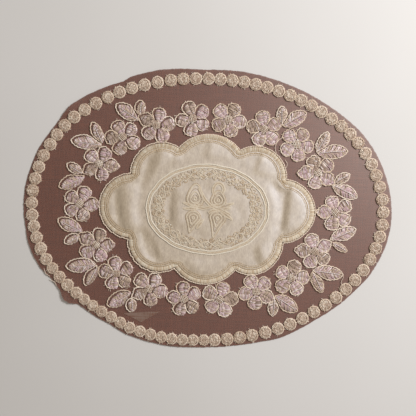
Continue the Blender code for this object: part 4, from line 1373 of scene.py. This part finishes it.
# Blooms: middle x, y, size, lean of the tip in degrees from straight up or down, its length, its
# sharpness, how far it hooks to the right
BLOOMS = (
    (-13.8, 11.0, 1.2, 2.0, 6.4, 1.1, 0.0), (11.5, 10.4, 1.05, 0.0, 2.4, 1.0, 0.0),
    (-15.2, -10.0, 1.05, -10.0, 8.4, 4.0, -0.6), (11.4, -9.6, 1.15, -13.0, 11.8, 4.0, 0.8),
)
BLOOM_HALF_LENGTH, BLOOM_HALF_WIDTH = 6.8, 7.1
BLOOM_STEPS = 28
BLOOM_LINES = (1.0, 0.6, 0.18)  # a bloom's outlines, as shares of its size
BLOOM_SHADE_LINES = (1.17, 0.79, 0.4)  # darker threads laid beside them, painting the shade there
# Leaves: foot x, y, tip x, y, half width
MOTIF_LEAVES = (
    (13.0, 1.8, 28.5, 7.6, 1.9), (15.0, 0.4, 24.6, 2.0, 1.3), (14.0, -1.4, 27.6, -10.4, 1.5),
    (-11.0, 1.4, -27.0, 6.4, 1.4), (-11.5, 0.2, -26.5, -0.2, 1.3), (-11.2, -21.6, -4.0, -11.4, 1.3),
)
# Stems, each through its points
MOTIF_STEMS = (
    ((-14.1, 5.8), (-9.0, 3.4), (-5.0, 4.4)),
    ((-9.8, 24.0), (-6.4, 16.2), (-1.3, 8.7), (6.5, 2.4), (16.1, -0.8), (24.5, -5.2)),
    ((-15.4, -2.0), (-11.0, 1.4), (-4.6, 0.6), (1.0, 2.2), (7.0, 4.0), (11.9, 4.9)),
    ((12.1, -2.2), (6.0, -1.2), (1.2, -4.2)),
    ((7.2, 15.5), (5.7, 20.5), (6.8, 25.6), (10.6, 28.8), (15.0, 27.2), (17.0, 22.4), (15.6, 18.2)),
)
MOTIF_THICK = 1.8  # width of a line of the motif, satin stitched
MOTIF_HIGH = MOTIF_THICK * 0.26
MOTIF_UP = 0.2  # how far over the satin its middle lies
MOTIF_TONE = 0.36
SHADE_LINE_THICK = 0.65  # a darker thread laid in the hollow beside each line, painting its shade
SHADE_LINE_UP = 0.22
SHADE_LINE_TONE = 0.1
STEM_HALF = 1.1  # a stem is two lines, this far to each side of its middle
MOTIF_STRAY, SHADE_LINE_STRAY = 0.12, 0.08  # how far the points of each stray


def bloom_loop(bloom, share):
    """One outline of a bloom: round at its foot, drawn out to a tip that may hook to one side."""
    x, y, size, lean, length, sharp, hook = bloom
    up = 1 if y > 0 else -1
    x, y = SATIN_MIDDLE[0] + x, SATIN_MIDDLE[1] + y
    turn = math.radians(lean) * up
    line = []
    for i in range(BLOOM_STEPS):
        at = 2 * math.pi * i / BLOOM_STEPS
        tip = max(0.0, math.cos(at))
        narrowed = 1 - 0.25 * tip - 0.08 * (sharp - 1) * tip**3
        along = BLOOM_HALF_LENGTH * math.cos(at) + length * min(share, 1 / share) * tip**sharp
        across = BLOOM_HALF_WIDTH * math.sin(at) * narrowed + hook * tip**3
        along, across = along * size * share * up, across * size * share
        aside = across * math.cos(turn) + along * math.sin(turn)
        upward = along * math.cos(turn) - across * math.sin(turn)
        line.append((x + aside, y + upward))
    return smooth_loop(line, FINE_STEP)


def motif_line(line, closed=True):
    """A line of the motif, flat and wide, lying on the satin."""
    line = np.column_stack([line + wander(line, MOTIF_STRAY), np.full(len(line), MOTIF_UP)])
    return thread(on_satin(line), MOTIF_THICK, MOTIF_HIGH, MOTIF_TONE, closed=closed)


def painted_shade_line(line, closed=True):
    """A darker thread beside a line, or between two, that paints the shade of the hollow there."""
    line = np.column_stack([line + wander(line, SHADE_LINE_STRAY), np.full(len(line), SHADE_LINE_UP)])
    return thread(on_satin(line), SHADE_LINE_THICK, SHADE_LINE_THICK * 0.6, SHADE_LINE_TONE, closed=closed, sides=5)


motif = []
sx, sy = SATIN_MIDDLE
for bloom in BLOOMS:
    motif += [motif_line(bloom_loop(bloom, share)) for share in BLOOM_LINES]
    motif += [painted_shade_line(bloom_loop(bloom, share)) for share in BLOOM_SHADE_LINES]
for fx, fy, tx, ty, half in MOTIF_LEAVES:
    foot, tip = Vector((sx + fx, sy + fy)), Vector((sx + tx, sy + ty))
    side = Vector((fy - ty, tx - fx)).normalized() * half
    low, middle, high = foot.lerp(tip, 0.2), foot.lerp(tip, 0.45), foot.lerp(tip, 0.75)
    leaf = [foot, low + side * 0.8, middle + side, high + side * 0.6, tip]
    leaf += [high - side * 0.6, middle - side, low - side * 0.8]
    # the vein is a darker line down the leaf's middle, painting shade there
    vein = [foot.lerp(tip, 0.05), middle, foot.lerp(tip, 0.9)]
    motif.append(motif_line(smooth_loop(leaf, FINE_STEP)))
    motif.append(painted_shade_line(smooth_loop(vein, FINE_STEP, closed=False), closed=False))
for points in MOTIF_STEMS:
    line = smooth_loop([(sx + x, sy + y) for x, y in points], FINE_STEP, closed=False)
    ahead = np.gradient(line, axis=0)
    ahead /= np.linalg.norm(ahead, axis=1, keepdims=True)
    for off in (STEM_HALF, -STEM_HALF):
        motif.append(motif_line(line + np.column_stack([-ahead[:, 1], ahead[:, 0]]) * off, closed=False))
    # the darker line between a stem's two lines paints the shade between them
    motif.append(painted_shade_line(line, closed=False))
piece = make_piece("motif_threads", motif, ECRU)
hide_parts("centre_motif")

# ----------------------------------------------------------------------------- loose ends
# Where the machine jumped from one form to the next it left its thread uncut, and a few tails of the
# same cream cotton stand out at the garland and the rim. Short fibres fray out of the cords all round.

# Tails, each through its points
LOOSE_ENDS = (
    ((149.6, -63.5), (153.1, -68.9), (151.1, -75.6), (155.7, -82.0)),
    ((85.7, 83.3), (77.1, 78.6), (73.0, 70.7), (74.4, 64.2)),
    ((84.5, 56.9), (86.9, 52.6), (86.0, 48.2)),
    ((116.3, 5.3), (123.2, -2.1)), ((124.0, 4.5), (117.7, -3.5)),
    ((-175.7, -72.1), (-173.3, -77.5), (-168.8, -80.6)), ((-168.7, -83.9), (-163.1, -87.0), (-160.7, -91.3)),
    ((-81.1, -132.1), (-84.2, -137.7)), ((-14.6, -142.8), (-15.4, -148.3)),
)
FRAYS_PER_DOT, FRAYS_PER_PETAL = 6, 4
FRAY_LENGTHS = (0.6, 1.7)
FRAY_BEND = 0.9
FRAY_SPAN = 100.0  # degrees each way from a petal's tip over which fibres stand out
DOT_FRAY_UP, PETAL_FRAY_UP = 0.7, 0.8  # their heights over the cloth
FIBRE_WIDE, FIBRE_HIGH, FIBRE_TONES = 0.4, 0.35, (0.2, 0.6)
TAIL_WIDE, TAIL_HIGH, TAIL_TONE = 0.55, 0.5, 0.4
TAIL_FOOT, TAIL_RISE = 0.6, 0.5


def fray(middle, way, radius):
    """A fibre that stands out of a round cord: its points as offsets from the cord's middle."""
    edge = middle + way * radius
    reach = draw.uniform(*FRAY_LENGTHS)
    bend = Vector((-way.y, way.x)) * draw.uniform(-FRAY_BEND, FRAY_BEND)
    return [edge - way * 0.5, edge + way * reach * 0.5 + bend * 0.3, edge + way * reach + bend]


def fibre(line):
    """A fibre along a line of points."""
    return thread(line, FIBRE_WIDE, FIBRE_HIGH, draw.uniform(*FIBRE_TONES), sides=4)


ends = []
for points in LOOSE_ENDS:
    line = smooth_loop(points, 0.9, closed=False)
    height = CLOTH_TOP + TAIL_FOOT + TAIL_RISE * np.sin(np.linspace(0, math.pi, len(line)))
    ends.append(thread(np.column_stack([line, height]), TAIL_WIDE, TAIL_HIGH, TAIL_TONE, sides=5))
for dot in range(DOT_COUNT):
    _, seat = dot_seat(dot)
    for _ in range(FRAYS_PER_DOT):
        way = heading(draw.uniform(0.0, 2 * math.pi))
        line = fray(Vector((0.0, 0.0)), way, dot_radius(dot))
        ends.append(fibre([seat(p, DOT_FRAY_UP) for p in line]))
for middle, petals in FLOWER_LIST:
    for turn, _ in petals:
        petal_middle = middle + heading(math.radians(turn)) * EYE_TO_PETAL
        for _ in range(FRAYS_PER_PETAL):
            way = heading(math.radians(turn + draw.uniform(-FRAY_SPAN, FRAY_SPAN)))
            line = fray(petal_middle, way, PETAL_RADIUS)
            ends.append(fibre([(*p, CLOTH_TOP + PETAL_FRAY_UP) for p in line]))
make_piece("loose_ends", ends, CREAM)

# ----------------------------------------------------------------------------- floor, light and camera
# A plain pale board, one large soft light high on the right and behind, and a dim even fill. The camera
# hangs straight above the doily, turned a little.

FLOOR_HALF = 3.0  # metres, as all sizes in this section
FLOOR_DROP = 0.0001  # it lies this far under the frame's zero, clear of the cloth
FLOOR_CLOUDS = 3.0  # to the metre
WINDOW_PLACE, WINDOW_SIZE, WINDOW_WATTS = (1.0, 0.6, 0.96), 0.55, 27.6
FILL_STRENGTH = 0.27
CAMERA_PLACE = (0.000297, 0.00068, 0.6356)  # over the doily's middle, within a millimetre
CAMERA_TURN = 2.2  # degrees
LENS, SENSOR = 50.0, 36.0  # mm

# Painted board: dull and nearly even, with faint clouds about 300 mm wide from the roller.
FLOOR, floor_shader = new_look("pale_painted_board", Roughness=0.8, IOR=1.45)
FLOOR_STOPS = ((0.3, "d3cfc9"), (0.7, "d8d4cf"))
floor_place = add(FLOOR, "TexCoord").outputs["Object"]
floor_clouds = add(FLOOR, "TexNoise", {"Scale": FLOOR_CLOUDS, "Detail": 2.0}, {"Vector": floor_place})
floor_colour = add(FLOOR, "ValToRGB", links={"Fac": floor_clouds.outputs["Fac"]}, stops=FLOOR_STOPS)
FLOOR.node_tree.links.new(floor_colour.outputs["Color"], floor_shader.inputs["Base Color"])
floor_mesh = bpy.data.meshes.new("floor")
floor_corners = [(x * FLOOR_HALF, y * FLOOR_HALF, 0.0) for x, y in ((-1, -1), (1, -1), (1, 1), (-1, 1))]
floor_mesh.from_pydata(floor_corners, [], [(0, 1, 2, 3)])
floor_mesh.materials.append(FLOOR)
floor = bpy.data.objects.new("floor", floor_mesh)
floor.location.z = -FLOOR_DROP
bpy.context.scene.collection.objects.link(floor)

window = bpy.data.lights.new("window", "AREA")
window.shape, window.size, window.energy = "DISK", WINDOW_SIZE, WINDOW_WATTS
window.color = linear("f8faff")[:3]
lamp = bpy.data.objects.new("window", window)
lamp.location = WINDOW_PLACE
lamp.rotation_euler = (-Vector(WINDOW_PLACE)).to_track_quat("-Z", "Y").to_euler()
bpy.context.scene.collection.objects.link(lamp)

world = bpy.data.worlds.new("studio")
world.use_nodes = True
world.node_tree.nodes["Background"].inputs["Color"].default_value = linear("fbf0e2")
world.node_tree.nodes["Background"].inputs["Strength"].default_value = FILL_STRENGTH
bpy.context.scene.world = world
bpy.context.scene.view_settings.view_transform = "Standard"

camera = bpy.data.objects.new("camera", bpy.data.cameras.new("camera"))
camera.data.lens, camera.data.sensor_width = LENS, SENSOR
camera.location = CAMERA_PLACE
camera.rotation_euler = (0.0, 0.0, math.radians(CAMERA_TURN))
bpy.context.scene.collection.objects.link(camera)
bpy.context.scene.camera = camera
